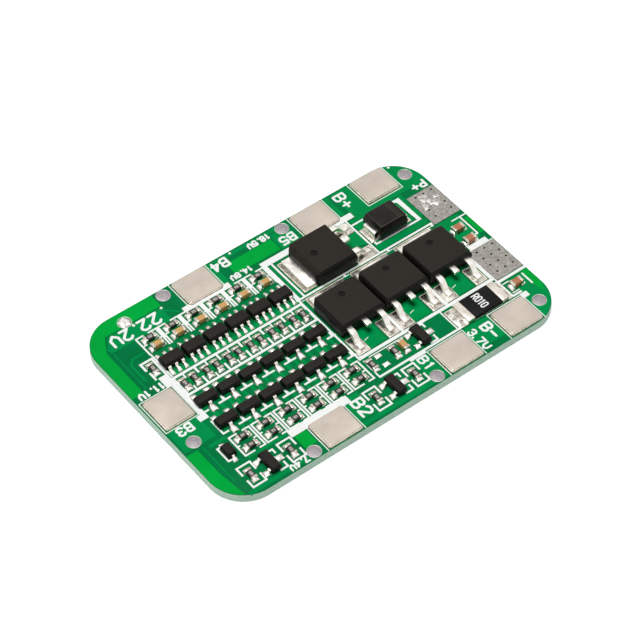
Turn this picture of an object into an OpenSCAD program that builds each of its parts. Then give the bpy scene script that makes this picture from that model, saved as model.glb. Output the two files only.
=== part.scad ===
// Battery management board for a pack of six lithium cells in series.
// Origin: centre of the flat underside. X runs along the board, Y from its front edge
// (tabs B2, B1 and B-) to its rear edge (tabs B4, B5 and B+), Z up through the parts.
// The outline wraps the circuit: its length and width are the sums of what lies along them.

/* [Board] */
// Thickness of the laminate
board_t = 1.2; // [0.8:0.1:2]
// Radius of the four corners of the board
corner_r = 4.8; // [1:0.1:5]
// Height of the tinned lands above the laminate
land_t = 0.08; // [0.04:0.01:0.12]

/* [Nickel tabs] */
// Length of a tab along its edge of the board
tab_l = 4.8; // [4:0.1:5.4]
// Width of a tab in from its edge
tab_w = 4; // [3.2:0.1:5]
// Thickness of the nickel strip
tab_t = 0.3; // [0.15:0.05:0.6]
// Radius of a tab's corners
tab_r = 0.25; // [0.1:0.05:0.6]
// Bare laminate between a front or rear tab and the edge
tab_edge = 0.3; // [0.2:0.05:1]
// Bare laminate between the left tab and the edge
tab_b3_edge = 0.55; // [0.2:0.05:1]
// Solder land showing around a tab
tab_lip = 0.15; // [0.05:0.05:0.2]
// Middle of tab B4 from the left edge
tab_b4_x = 16.5; // [16.5:0.1:18]
// Middle of tab B2 from the left edge
tab_b2_x = 16.2; // [16.2:0.1:16.8]
// Middle of tabs B5 and B1 from the right edge
tab_b5_right = 15.5; // [15:0.1:15.5]
// Middle of tab B+ from the right edge
tab_plus_right = 6; // [6:0.1:6.4]
// Middle of tab B- from the right edge
tab_minus_right = 6.2; // [6.2:0.1:6.6]
// Middle of tab B3 behind the middle of the upper transistor row
tab_b3_shift = 1.55; // [1:0.05:2.5]

/* [Sense pads] */
// Diameter of a round tinned pad
sense_d = 1.86; // [1.2:0.02:2]
// Rise of the solder dome on a round pad
sense_h = 0.12; // [0.1:0.02:0.4]
// Gap from a tab to the round pad beside it
sense_gap = 0.8; // [0.5:0.05:0.9]
// Gap from the edge of the board to the round pads on it
sense_rim = 0.09; // [0.05:0.01:0.3]
// Gap from tab B- to its round pad
sense_minus_gap = 0.57; // [0.4:0.01:0.6]
// Gap from tab B+ to its round pad
sense_plus_gap = 0.97; // [0.5:0.01:1]
// Gap from the front edge to the pad by B-
sense_minus_rim = 1.67; // [1.5:0.01:3]
// Gap from the rear edge to the pad by B+
sense_plus_rim = 2.17; // [2:0.01:3]
// Gap from the left edge to the pad in front of B3
sense_b3_rim = 1.07; // [0.5:0.01:1.5]
// Gap from tab B3 to its round pad
sense_b3_gap = 2.3; // [1:0.05:2.6]
// Middle of the rear corner pad from the left edge
sense_corner_x = 6.2; // [5.5:0.1:9]
// Gap from the rear edge to the rear corner pad
sense_corner_rim = 0.77; // [0.5:0.01:0.9]

/* [Output pads] */
// Length of the P+ and P- pads in from the right edge
pad_l = 4.2; // [3.4:0.1:5]
// Width of the P- pad along the right edge
pad_minus_w = 5.55; // [4.6:0.05:6]
// Width of the P+ pad along the right edge
pad_plus_w = 5.5; // [4.6:0.05:5.9]
// Bare laminate between an output pad and the edge
pad_margin = 0.1; // [0.05:0.05:0.5]
// Bore of a plated via
via_d = 0.3; // [0.2:0.05:0.4]
// Wall of the copper barrel in a via
via_wall = 0.06; // [0.03:0.01:0.1]
// Spacing of the vias across an output pad
via_pitch_x = 1.25; // [0.9:0.05:1.4]
// Spacing of the vias along an output pad
via_pitch_y = 1.3; // [0.9:0.05:1.4]
// Via grid to the right of an output pad's middle
via_right = 0.2; // [0:0.02:0.3]
// Via grid behind an output pad's middle
via_rear = 0.28; // [0:0.02:0.3]
// Gap from the P+ pad to the line of the rear tabs
pad_plus_gap = 2.3; // [1.5:0.05:2.5]
// Gap from the shunt's side to the P- pad's line
pad_minus_gap = 0.1; // [0.1:0.05:0.5]

/* [Cell monitors] */
// Length of a monitor's moulded body, along its rows of leads
ic_l = 2.9; // [2.6:0.05:3.2]
// Width of a monitor's body
ic_w = 1.6; // [1.4:0.05:1.7]
// Height of a monitor's body
ic_h = 1.05; // [0.8:0.05:1.3]
// Clear height under a monitor's body
ic_standoff = 0.1; // [0.05:0.01:0.2]
// Gap between neighbouring monitors
ic_gap = 0.3; // [0.2:0.05:1]
// Width over a monitor's leads, toe to toe
ic_span = 2.8; // [2.6:0.05:3]
// Spacing of a monitor's leads
ic_pitch = 0.95; // [0.85:0.05:1]
// Width of a monitor's lead
ic_lead_w = 0.4; // [0.3:0.05:0.5]
// Thickness of the leads of the small packages
lead_t = 0.15; // [0.1:0.01:0.2]
// Foot of a monitor's lead on its land
ic_foot = 0.3; // [0.2:0.05:0.35]

/* [Transistors] */
// Length of a transistor's moulded body
sot_l = 2.9; // [2.6:0.05:3]
// Width of a transistor's body
sot_w = 1.3; // [1.1:0.05:1.4]
// Height of a transistor's body
sot_h = 0.95; // [0.75:0.05:1.2]
// Width over a transistor's leads, toe to toe
sot_span = 2.4; // [2.2:0.05:2.6]
// Spacing of the two leads that share a side
sot_pitch = 1.9; // [1.6:0.05:2]
// Width of a transistor's lead
sot_lead_w = 0.42; // [0.3:0.02:0.5]
// Foot of a transistor's lead on its land
sot_foot = 0.25; // [0.15:0.05:0.3]
// Reach of a transistor's front land from its middle
sot_land_front = 1.95; // [1.6:0.05:2.1]
// Reach of a transistor's two rear lands from its middle
sot_land_rear = 1.55; // [1.45:0.05:2.1]
// Land past a transistor's lead on each side
sot_lip = 0.2; // [0.1:0.05:0.3]

/* [Chips] */
// Length of a chip resistor or capacitor
chip_l = 1.6; // [1.4:0.05:1.7]
// Width of a chip
chip_w = 0.8; // [0.6:0.05:0.95]
// Height of a chip resistor
resistor_h = 0.45; // [0.3:0.05:0.6]
// Height of a chip capacitor
capacitor_h = 0.8; // [0.5:0.05:1]
// Length of a chip's plated end
chip_end = 0.32; // [0.2:0.02:0.45]
// Width of an output capacitor
output_cap_w = 0.95; // [0.7:0.05:1.05]
// Thickness of the plating on a chip's end
plating_t = 0.03; // [0.02:0.01:0.05]
// Reach of a chip's lands from its middle
chip_land = 1.12; // [1:0.02:1.12]
// Width of a chip's lands past the chip on each side
chip_lip = 0.05; // [0.02:0.01:0.08]

/* [Power transistors] */
// Width of a power transistor's body, across its leads
fet_w = 6.6; // [6:0.05:7]
// Length of its body, from the leads to the tab
fet_l = 6.1; // [5.6:0.05:6.6]
// Height of its body
fet_h = 2.28; // [1.8:0.02:2.6]
// Gap between neighbouring power transistors
fet_gap = 0.2; // [0.1:0.05:1]
// Height from the lands to the middle of the leads where they leave the body
fet_exit = 1.42; // [1:0.01:1.6]
// Thickness of its lead frame
fet_frame_t = 0.5; // [0.4:0.02:0.6]
// Spacing of the two outer leads from the middle one
fet_pitch = 2.285; // [2:0.005:2.4]
// Width of a lead
fet_lead_w = 0.75; // [0.6:0.05:0.9]
// Reach of an outer lead in front of the body
fet_reach = 2.7; // [2.4:0.05:3]
// Straight part of a lead where it leaves the body
fet_shoulder = 0.9; // [0.7:0.05:1]
// Foot of a lead on its land
fet_foot = 0.85; // [0.6:0.05:0.9]
// Length of the cropped middle lead
fet_stub = 1.1; // [0.5:0.05:1.5]
// Width of the drain tab
fet_tab_w = 5.3; // [4.8:0.05:5.8]
// Length of the drain tab behind the body
fet_tab = 1.15; // [0.8:0.05:1.5]
// Chamfer on the two tab-side corners of the body
fet_chamfer = 0.7; // [0.3:0.05:1]
// Draft of the body's long sides at its top
fet_draft = 0.35; // [0.1:0.05:0.6]
// Draft of the body's lead side at its top
fet_draft_front = 0.2; // [0.1:0.05:0.6]
// Draft of the body's sides down to its underside
fet_undercut = 0.2; // [0.05:0.05:0.4]
// Draft of the body's tab side at its top
fet_draft_tab = 0.65; // [0.2:0.05:0.8]
// Diameter of the ejector mark in the top
fet_mark_d = 0.9; // [0.6:0.05:1.4]
// Depth of the ejector mark
fet_mark_t = 0.12; // [0.02:0.01:0.2]
// Ejector mark's middle from the tab side
fet_mark_in = 1.9; // [1.5:0.05:2.5]
// Land showing in front of a foot and behind the tab
fet_toe = 0.55; // [0.2:0.05:0.8]
// Drain slug and its land under the body, in from the lead side
fet_slug_in = 1; // [0.6:0.05:1.5]
// Drain land past the tab on each side
fet_lip = 0.2; // [0.05:0.05:0.3]
// Width of a lead's land
fet_land_w = 1.8; // [1.2:0.05:2]
// Land under a foot, from its toe back towards the body
fet_land_l = 3; // [2:0.05:3]

/* [Blocking diode] */
// Length of the diode's body between its terminals
diode_l = 4.3; // [3.8:0.05:4.6]
// Width of the diode's body
diode_w = 3.6; // [3.2:0.05:4]
// Height of the diode's body over its feet
diode_h = 2; // [1.7:0.05:2.3]
// Draft of the diode's terminal ends at its top
diode_draft_end = 0.2; // [0.05:0.05:0.4]
// Draft of the diode's long sides at its top
diode_draft_side = 0.25; // [0.05:0.05:0.4]
// Draft of the diode's sides down to its underside
diode_undercut = 0.1; // [0.05:0.05:0.3]
// Thickness of the diode's terminal strip
diode_strip = 0.18; // [0.12:0.02:0.25]
// Width of the diode's terminal strip
diode_strip_w = 2.1; // [1.6:0.05:2.4]
// Length over the diode's terminals
diode_span = 5.35; // [5.15:0.05:5.6]
// Foot of a terminal under the body
diode_foot = 1.2; // [0.8:0.05:1.4]
// Reach of the diode's lands from its middle
diode_land = 3.15; // [2.9:0.05:3.3]
// Width of the diode's lands
diode_land_w = 2.6; // [2.2:0.05:3]

/* [Current shunt] */
// Length of the shunt
shunt_l = 6.35; // [5.8:0.05:6.6]
// Width of the shunt
shunt_w = 3.2; // [2.8:0.05:3.4]
// Height of the shunt
shunt_h = 0.6; // [0.4:0.05:0.8]
// Length of a shunt's plated end
shunt_end = 1; // [0.6:0.05:1.2]
// Land showing at the shunt's left end
shunt_toe_left = 1.3; // [0.5:0.05:1.3]
// Land showing at the shunt's right end
shunt_toe_right = 0.7; // [0.3:0.05:0.9]

/* [Signal diode] */
// Length of the small diode's body
sod_l = 1.7; // [1.5:0.05:1.8]
// Width of the small diode's body
sod_w = 1.25; // [1.1:0.05:1.35]
// Height of the small diode's body
sod_h = 0.9; // [0.7:0.05:1.1]
// Length over the small diode's leads
sod_span = 2.55; // [2.4:0.05:2.7]
// Width of the small diode's leads
sod_lead_w = 0.32; // [0.2:0.02:0.4]
// Width of the small diode's lands
sod_land_w = 0.65; // [0.5:0.05:0.9]
// Reach of the small diode's lands from its middle
sod_land = 1.6; // [1.45:0.05:1.8]

/* [Column layout] */
// Gap from tab B3 to the first monitor
bank_gap = 1.12; // [1.12:0.01:2]
// Transistors left of their monitor
transistor_shift = 0.32; // [0:0.01:0.4]
// Divider pairs left of their monitor
divider_shift = 0.16; // [0:0.01:0.3]
// Bleed resistors left of their monitor
bleed_shift = 0.27; // [0:0.01:0.3]
// Gap between the two divider resistors of a cell
divider_gap = 0.64; // [0.3:0.01:0.8]
// Gap from the last monitor to the first power transistor
fet_row_gap = 0.38; // [0.38:0.01:2]
// Gap from the last power transistor of the row to the P- pad
fet_pad_gap = 0.55; // [0.3:0.05:2]
// Gap from the last monitor to the turned power transistor's land
turned_gap = 1.53; // [1:0.01:2]
// Gap from the turned power transistor's lands to the blocking diode's
diode_gap = 0.4; // [0.2:0.05:1]
// Gap from the blocking diode's land to the P+ pad
diode_pad_gap = 1.8; // [1:0.05:2.5]
// Gap from the shunt's land to the line of the P- pad
shunt_pad_gap = 0.2; // [0.1:0.05:1]
// Middle of the two output capacitors from the right edge
output_cap_right = 2.7; // [2.4:0.05:2.8]
// Middle of the shunt's capacitor from the right edge
sense_cap_right = 2.9; // [2.4:0.05:3]

/* [Row layout] */
// Gap from the front tabs to the first bleed row
bleed_front_gap = 1.35; // [0.6:0.05:2]
// Gap between the two bleed rows
bleed_gap = 0.82; // [0.3:0.01:1.5]
// Gap from the second bleed row to the lower transistors' lands
lower_gap = 0.68; // [0.2:0.01:1.5]
// Gap between the lands of the two transistor rows
upper_gap = 0.45; // [0.05:0.05:1]
// Gap from the upper transistors' lands to the divider lands
divider_row_gap = 0.73; // [0.1:0.01:1]
// Gap from the divider lands to the monitors' lands
monitor_gap = 0.83; // [0.3:0.01:1.5]
// Reach of a monitor's lands from its middle
ic_land = 1.9; // [1.6:0.05:2]
// Gap from the monitors' lands to the filter capacitors
filter_gap = 0.6; // [0.2:0.05:1]
// Gap from the filter capacitors to the supply resistors
supply_gap = 0.75; // [0.3:0.05:1.5]
// Gap from the supply resistors to the rear tabs
rear_gap = 0.95; // [0.5:0.05:2]
// Gap from the front tabs to the shunt
shunt_front_gap = 0.55; // [0.3:0.05:1]
// Gap from the shunt to the lands of the power transistors' leads
fet_front_gap = 0.9; // [0.5:0.05:1.5]
// Gap from the row's drain lands to the turned power transistor
turned_front_gap = 0.35; // [0.2:0.05:1]
// Gap from the turned power transistor to the rear tabs
turned_rear_gap = 0.65; // [0.3:0.05:1]
// Blocking diode in front of the turned power transistor's middle
diode_shift = 0.15; // [0:0.05:0.3]
// Gap from the P- pad to the first output capacitor
output_cap_gap = 0.95; // [0.5:0.05:1.2]
// Gap between the two output capacitors
output_cap_split = 1.3; // [0.5:0.05:1.6]
// Gap from the shunt's capacitor to the line of the P- pad
sense_cap_gap = 1.5; // [1:0.05:1.7]

/* [Small parts] */
// Middle of the two driver stages from the front edge
driver_y = 2.7; // [2:0.05:2.8]
// First resistor of the left stage from the left edge
stage_1_x = 4.3; // [4:0.05:4.4]
// Its transistor to the right of that
stage_1_transistor = 2.65; // [2.6:0.05:2.8]
// Its second resistor to the right of the first
stage_1_span = 5.7; // [5.5:0.05:5.8]
// First resistor of the right stage from tab B2
stage_2_gap = 4; // [3.6:0.05:4.2]
// Its transistor to the right of that
stage_2_transistor = 2.8; // [2.6:0.05:2.9]
// Its second resistor to the right of the first
stage_2_span = 5.8; // [5.6:0.05:5.9]
// First resistor of the auxiliary row from the last monitor
aux_gap = 0.73; // [0.6:0.01:0.8]
// Empty footprint to the right of that resistor
aux_footprint = 1.5; // [1.2:0.05:1.7]
// Second resistor to the right of the first
aux_resistor = 3.4; // [3:0.05:3.6]
// Capacitor to the right of the first resistor
aux_capacitor = 4.7; // [4.6:0.05:5]
// Transistor to the right of the first resistor
aux_transistor = 7.3; // [7.2:0.05:7.6]
// Left resistor from the first monitor
left_resistor_gap = 1.07; // [1:0.01:1.4]
// Left resistor behind the monitors' middle
left_resistor_shift = 0.3; // [0:0.05:0.6]
// Small diode from the first monitor
signal_diode_gap = 1.47; // [1.3:0.01:1.8]
// Lone via in front of tab B+'s round pad
plus_via_drop = 1.4; // [1.2:0.05:1.8]
// Lone via to the right of tab B2
b2_via_gap = 2.7; // [2:0.05:2.8]
// Lone via in front of the left resistor
left_via_drop = 1.95; // [1.6:0.05:2]
// That via to the right of the left resistor
left_via_right = 0.45; // [0.2:0.05:0.8]

/* [Hidden] */
$fn = 48;
// How far a cutting shape runs past what it cuts
over = 0.5;
// Share of a moulded height that lies under its parting band
parting = 0.45;
// Draft of the small moulded bodies at their tops and their undersides
small_draft = 0.09;
// Bend radius of a lead's middle line in thicknesses
bend_ratio = 0.75;
// Facets in each bend of a lead
bend_steps = 4;
// Steps in the section of a solder dome
dome_steps = 6;
// Radius of a land's corners
land_r = 0.08;
// Cells in the pack that have a monitor each
cells = 6;
// Power transistors in the row
row_fets = 3;

// Places along X, from the left edge
bank_x = tab_b3_edge + tab_w + bank_gap;
column_pitch = ic_l + ic_gap;
bank_right = bank_x + cells * column_pitch - ic_gap;
fet_row_x = bank_right + fet_row_gap;
fet_row_right = fet_row_x + row_fets * (fet_w + fet_gap) - fet_gap;
turned_x = bank_right + turned_gap + fet_toe + fet_tab + fet_l / 2;
turned_right = turned_x + fet_l / 2 + fet_reach + fet_toe;
length_by_row = fet_row_right + fet_pad_gap;
length_by_diode = turned_right + diode_gap + 2 * diode_land + diode_pad_gap;
pad_x0 = max(length_by_row, length_by_diode);
board_l = pad_x0 + pad_l + pad_margin;
pad_x = pad_x0 + pad_l / 2;
diode_x = pad_x0 - diode_pad_gap - diode_land;
shunt_x = pad_x0 - shunt_pad_gap - shunt_toe_right - shunt_l / 2;
tab_b3_x = tab_b3_edge + tab_w / 2;
aux_x = bank_right + aux_gap;

// Places along Y, from the front edge
front_line = tab_edge + tab_w;
bleed_y = front_line + bleed_front_gap + chip_w / 2;
bleed_rear_y = bleed_y + chip_w + bleed_gap;
lower_y = bleed_rear_y + chip_w / 2 + lower_gap + sot_land_front;
upper_y = lower_y + sot_land_rear + upper_gap + sot_land_front;
divider_y = upper_y + sot_land_rear + divider_row_gap + chip_land;
monitor_y = divider_y + chip_land + monitor_gap + ic_land;
filter_y = monitor_y + ic_land + filter_gap + chip_w / 2;
supply_y = filter_y + chip_w + supply_gap;
shunt_y = front_line + shunt_front_gap + shunt_w / 2;
shunt_rear = shunt_y + shunt_w / 2;
fet_y = shunt_rear + fet_front_gap + fet_toe + fet_reach + fet_l / 2;
turned_y = fet_y + fet_l / 2 + fet_tab + fet_toe + turned_front_gap + fet_w / 2;
rear_by_columns = supply_y + chip_w / 2 + rear_gap;
rear_by_power = turned_y + fet_w / 2 + turned_rear_gap;
rear_line = max(rear_by_columns, rear_by_power);
board_w = rear_line + tab_w + tab_edge;
diode_y = turned_y - diode_shift;
pad_minus_y = shunt_rear + pad_minus_gap + pad_minus_w / 2;
pad_plus_y = rear_line - pad_plus_gap - pad_plus_w / 2;
tab_b3_y = upper_y + tab_b3_shift;
aux_y = (bleed_y + bleed_rear_y) / 2;
output_cap_y = pad_minus_y + pad_minus_w / 2 + output_cap_gap + output_cap_w / 2;
sense_cap_y = pad_minus_y - pad_minus_w / 2 - sense_cap_gap - output_cap_w / 2;

// Heights above the laminate
ic_exit = ic_standoff + parting * ic_h;
sot_exit = land_t + parting * sot_h;
sod_exit = land_t + parting * sod_h;
fet_exit_z = land_t + fet_exit;
diode_floor = land_t + diode_strip;
diode_exit = diode_floor + parting * diode_h;

// Places of the parts as [x, y, turn], from the front left corner of the outline
function column_x(i) = bank_x + ic_l / 2 + i * column_pitch;
function column_spots(shift, y) = [for (i = [0:cells - 1]) [column_x(i) - shift, y, 0]];
TAB_SPOTS = [
    [board_l - tab_b5_right, front_line - tab_w / 2, 0],
    [tab_b2_x, front_line - tab_w / 2, 0],
    [tab_b3_x, tab_b3_y, 90],
    [tab_b4_x, rear_line + tab_w / 2, 0],
    [board_l - tab_b5_right, rear_line + tab_w / 2, 0],
    [board_l - tab_plus_right, rear_line + tab_w / 2, 0],
    [board_l - tab_minus_right, front_line - tab_w / 2, 0]
];
TAB_NAMES = ["b1", "b2", "b3", "b4", "b5", "plus", "minus"];
sense_edge = sense_rim + sense_d / 2;
beside_tab = tab_l / 2 + sense_gap + sense_d / 2;
b2_sense_x = tab_b2_x - beside_tab;
SENSE_SPOTS = [
    [board_l - tab_b5_right - beside_tab, sense_edge, 0],
    [b2_sense_x, sense_edge, 0],
    [sense_b3_rim + sense_d / 2, tab_b3_y - tab_l / 2 - sense_b3_gap - sense_d / 2, 0],
    [tab_b4_x - beside_tab, board_w - sense_edge, 0],
    [board_l - tab_b5_right - beside_tab, board_w - sense_edge, 0],
    [
        board_l - tab_plus_right + tab_l / 2 + sense_plus_gap + sense_d / 2,
        board_w - sense_plus_rim - sense_d / 2,
        0
    ],
    [
        board_l - tab_minus_right + tab_l / 2 + sense_minus_gap + sense_d / 2,
        sense_minus_rim + sense_d / 2,
        0
    ],
    [sense_corner_x, board_w - sense_corner_rim - sense_d / 2, 0]
];
SUPPLY_SPOTS = column_spots(0, supply_y);
FILTER_SPOTS = concat(column_spots(0, filter_y), [[aux_x + aux_capacitor, aux_y, 90]]);
BLEED_SPOTS = concat(column_spots(bleed_shift, bleed_y), column_spots(bleed_shift, bleed_rear_y));
DIVIDER_SPOTS = [
    for (i = [0:cells - 1], side = [-1, 1])
        [column_x(i) - divider_shift + side * (chip_w + divider_gap) / 2, divider_y, 90]
];
MONITOR_SPOTS = column_spots(0, monitor_y);
UPPER_SPOTS = column_spots(transistor_shift, upper_y);
LOWER_SPOTS = column_spots(transistor_shift, lower_y);
stage_2_x = tab_b2_x + tab_l / 2 + stage_2_gap;
left_resistor = [bank_x - left_resistor_gap, monitor_y + left_resistor_shift, 90];
BIAS_SPOTS = [
    left_resistor,
    [stage_1_x, driver_y, 90],
    [stage_1_x + stage_1_span, driver_y, 90],
    [stage_2_x, driver_y, 90],
    [stage_2_x + stage_2_span, driver_y, 90],
    [aux_x, aux_y, 90],
    [aux_x + aux_resistor, aux_y, 90]
];
EMPTY_SPOTS = [[aux_x + aux_footprint, aux_y, 90]];
DRIVER_SPOTS = [
    [stage_1_x + stage_1_transistor, driver_y, 90],
    [stage_2_x + stage_2_transistor, driver_y, 90],
    [aux_x + aux_transistor, aux_y, 90]
];
OUTPUT_CAP_SPOTS = [
    [board_l - output_cap_right, output_cap_y, 0],
    [board_l - output_cap_right, output_cap_y + output_cap_w + output_cap_split, 0],
    [board_l - sense_cap_right, sense_cap_y, 0]
];
SIGNAL_SPOTS = [[bank_x - signal_diode_gap, aux_y, 90]];
FET_SPOTS = concat(
    [for (i = [0:row_fets - 1]) [fet_row_x + fet_w / 2 + i * (fet_w + fet_gap), fet_y, 0]],
    [[turned_x, turned_y, 90]]
);
DIODE_SPOTS = [[diode_x, diode_y, 0]];
SHUNT_SPOTS = [[shunt_x, shunt_y, 0]];

// Vias of an output pad as [column, row] of a grid three across and four along
via_columns = 3;
via_rows = 4;
MINUS_VIAS = [for (c = [0:via_columns - 1], r = [0:via_rows - 1]) [c, r]];
PLUS_VIAS = [for (v = MINUS_VIAS) if (v[0] == 2 || v[1] == 3 || (v[0] == 0 && v[1] < 2)) v];
function via_spots(y, vias) = [
    for (v = vias)
        [
            pad_x + via_right + (v[0] - (via_columns - 1) / 2) * via_pitch_x,
            y + via_rear + (v[1] - (via_rows - 1) / 2) * via_pitch_y,
            0
        ]
];
PAD_VIAS = concat(via_spots(pad_plus_y, PLUS_VIAS), via_spots(pad_minus_y, MINUS_VIAS));
LONE_VIAS = [
    [SENSE_SPOTS[5][0], SENSE_SPOTS[5][1] - plus_via_drop, 0],
    [tab_b2_x + tab_l / 2 + b2_via_gap, front_line, 0],
    [left_resistor[0] + left_via_right, left_resistor[1] - left_via_drop, 0]
];

// Puts children on the laminate's top at each of the places
module on_board(spots) {
    for (s = spots)
        translate([s[0] - board_l / 2, s[1] - board_w / 2, board_t])
            rotate(s[2])
                children();
}

// A box centred in X and Y that stands on z = 0
module block(l, w, h) {
    translate([-l / 2, -w / 2, 0])
        cube([l, w, h]);
}

// A flat plate with round corners, centred in X and Y, on z = 0
module rounded_plate(l, w, h, r) {
    linear_extrude(h) {
        square([l - 2 * r, w], center = true);
        square([l, w - 2 * r], center = true);
        for (x = [-1, 1], y = [-1, 1])
            translate([x * (l / 2 - r), y * (w / 2 - r)])
                circle(r);
    }
}

function unit(v) = v / norm(v);
function turned(v, a) = [v[0] * cos(a) - v[1] * sin(a), v[0] * sin(a) + v[1] * cos(a)];
function side_of(a, b) = a[0] * b[1] - a[1] * b[0] > 0 ? 1 : -1;

// Arc that rounds the corner p between a and b with a radius
function corner_arc(a, p, b, radius) =
    let (
        to_a = unit(a - p),
        to_b = unit(b - p),
        angle = acos(to_a * to_b),
        centre = p + unit(to_a + to_b) * radius / sin(angle / 2),
        start = p + to_a * radius / tan(angle / 2) - centre,
        sweep = (180 - angle) * side_of(start, p + to_b * radius / tan(angle / 2) - centre)
    )
    [for (k = [0:bend_steps]) centre + turned(start, sweep * k / bend_steps)];

// A path with each of its inner corners rounded
function bent(path, radius) = [
    for (i = [0:len(path) - 1])
        each (i == 0 || i == len(path) - 1
            ? [path[i]]
            : corner_arc(path[i - 1], path[i], path[i + 1], radius))
];

// Left-hand normal at a point of a path, lengthened so that offset lines meet there
function mitre(path, i) =
    let (
        last = len(path) - 1,
        before = unit(path[max(i, 1)] - path[max(i, 1) - 1]),
        after = unit(path[min(i, last - 1) + 1] - path[min(i, last - 1)]),
        middle = unit(before + after)
    )
    [-middle[1], middle[0]] / (middle * before);

// Side view of a strip of a thickness bent along a path
function strip_outline(path, t) = concat(
    [for (i = [0:len(path) - 1]) path[i] + mitre(path, i) * t / 2],
    [for (i = [len(path) - 1:-1:0]) path[i] - mitre(path, i) * t / 2]
);

// A bent metal strip that leaves x = 0 in the direction of +X, centred in Y
module bent_strip(path, t, w) {
    rotate([90, 0, 0])
        translate([0, 0, -w / 2])
            linear_extrude(w)
                polygon(strip_outline(bent(path, bend_ratio * t), t));
}

// Middle line of a gull-wing lead from its exit height down to a foot on the land
function gull_path(exit, reach, shoulder, foot, t) = [
    [0, exit],
    [shoulder, exit],
    [reach - foot, land_t + t / 2],
    [reach, land_t + t / 2]
];

// Side view of a moulded body: an upright parting band with drafted sides above and below it
function moulded_outline(l, z0, z1, exit, band, low, left, right) = [
    [-l / 2 + low, z0],
    [l / 2 - low, z0],
    [l / 2, exit - band / 2],
    [l / 2, exit + band / 2],
    [l / 2 - right, z1],
    [-l / 2 + left, z1],
    [-l / 2, exit + band / 2],
    [-l / 2, exit - band / 2]
];

// A body with the outline a along X and the outline b along Y
module moulded_block(a, b, l, w) {
    intersection() {
        rotate([90, 0, 0])
            translate([0, 0, -w / 2 - over])
                linear_extrude(w + 2 * over)
                    polygon(a);
        rotate([90, 0, 90])
            translate([0, 0, -l / 2 - over])
                linear_extrude(l + 2 * over)
                    polygon(b);
    }
}

// A small moulded body whose leads leave at the exit height
module small_body(l, w, z0, h, exit) {
    d = small_draft;
    moulded_block(
        moulded_outline(l, z0, z0 + h, exit, lead_t, d, d, d),
        moulded_outline(w, z0, z0 + h, exit, lead_t, d, d, d),
        l, w
    );
}

// Leads at places across the front (side -1) or the rear (side 1) of a body of width w
module lead_row(places, side, w, path, t, lead_w) {
    for (p = places)
        translate([p, side * w / 2, 0])
            rotate(side * 90)
                bent_strip(path, t, lead_w);
}

// Two lands along X, each from an inner to an outer distance from the middle
module land_pair(inner, outer, w) {
    for (side = [-1, 1])
        translate([side * (inner + outer) / 2, 0, 0])
            rounded_plate(outer - inner, w, land_t, land_r);
}

// Laminate with the via barrels' holes
module circuit_board() {
    color("#0e8a3e")
        difference() {
            rounded_plate(board_l, board_w, board_t, corner_r);
            translate([0, 0, -board_t])
                on_board(concat(PAD_VIAS, LONE_VIAS))
                    translate([0, 0, -over])
                        cylinder(h = board_t + 2 * over, d = via_d + 2 * via_wall);
        }
}

// One nickel tab on its solder land
module nickel_tab(i) {
    color("#cdbfb2")
        on_board([TAB_SPOTS[i]])
            translate([0, 0, land_t])
                rounded_plate(tab_l, tab_w, tab_t, tab_r);
}

// Lands that the nickel tabs are soldered to
module tab_lands() {
    color("#d8d2cc")
        on_board(TAB_SPOTS)
            rounded_plate(tab_l + 2 * tab_lip, tab_w + 2 * tab_lip, land_t, tab_r + tab_lip);
}

// An output pad with its plated vias, whose barrels line the laminate's holes
module output_pad(y, w, vias) {
    color("#a9a2a0")
        difference() {
            union() {
                on_board([[pad_x, y, 0]])
                    rounded_plate(pad_l, w, land_t, land_r);
                on_board(via_spots(y, vias))
                    translate([0, 0, -board_t])
                        cylinder(h = board_t + land_t, d = via_d + 2 * via_wall);
            }
            on_board(via_spots(y, vias))
                translate([0, 0, -board_t - over])
                    cylinder(h = board_t + land_t + 2 * over, d = via_d);
        }
}

module output_pad_plus() {
    output_pad(pad_plus_y, pad_plus_w, PLUS_VIAS);
}

module output_pad_minus() {
    output_pad(pad_minus_y, pad_minus_w, MINUS_VIAS);
}

// A low dome: the arc of its section spun round Z
module dome(d, h) {
    ball = (d * d / 4 + h * h) / (2 * h);
    half = asin(d / 2 / ball);
    rotate_extrude()
        polygon(concat(
            [[0, 0]],
            [
                for (k = [0:dome_steps])
                    let (a = half * (1 - k / dome_steps))
                        [ball * sin(a), ball * cos(a) - ball + h]
            ]
        ));
}

// Round pads for the sense wires, each with a low dome of solder
module sense_wire_pads() {
    color("#b9b4b2")
        on_board(SENSE_SPOTS)
            dome(sense_d, sense_h);
}

// Tinned lands of every part that is soldered down
module solder_lands() {
    color("#cfcac6") {
        on_board(concat(SUPPLY_SPOTS, FILTER_SPOTS, BLEED_SPOTS, DIVIDER_SPOTS, BIAS_SPOTS))
            chip_lands(chip_w);
        on_board(EMPTY_SPOTS)
            chip_lands(chip_w);
        on_board(OUTPUT_CAP_SPOTS)
            chip_lands(output_cap_w);
        on_board(MONITOR_SPOTS)
            monitor_lands();
        on_board(concat(UPPER_SPOTS, LOWER_SPOTS, DRIVER_SPOTS))
            transistor_lands();
        on_board(FET_SPOTS)
            fet_lands();
        on_board(DIODE_SPOTS)
            land_pair(diode_l / 2 - diode_foot, diode_land, diode_land_w);
        on_board(SHUNT_SPOTS)
            shunt_lands();
        on_board(SIGNAL_SPOTS)
            land_pair(sod_l / 2, sod_land, sod_land_w);
    }
}

module chip_lands(w) {
    land_pair(chip_l / 2 - chip_end, chip_land, w + 2 * chip_lip);
}

module monitor_lands() {
    for (p = [-1, 0, 1])
        translate([p * ic_pitch, 0, 0])
            rotate(90)
                land_pair(ic_span / 2 - ic_foot - lead_t, ic_land, ic_lead_w + 2 * chip_lip);
}

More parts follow.
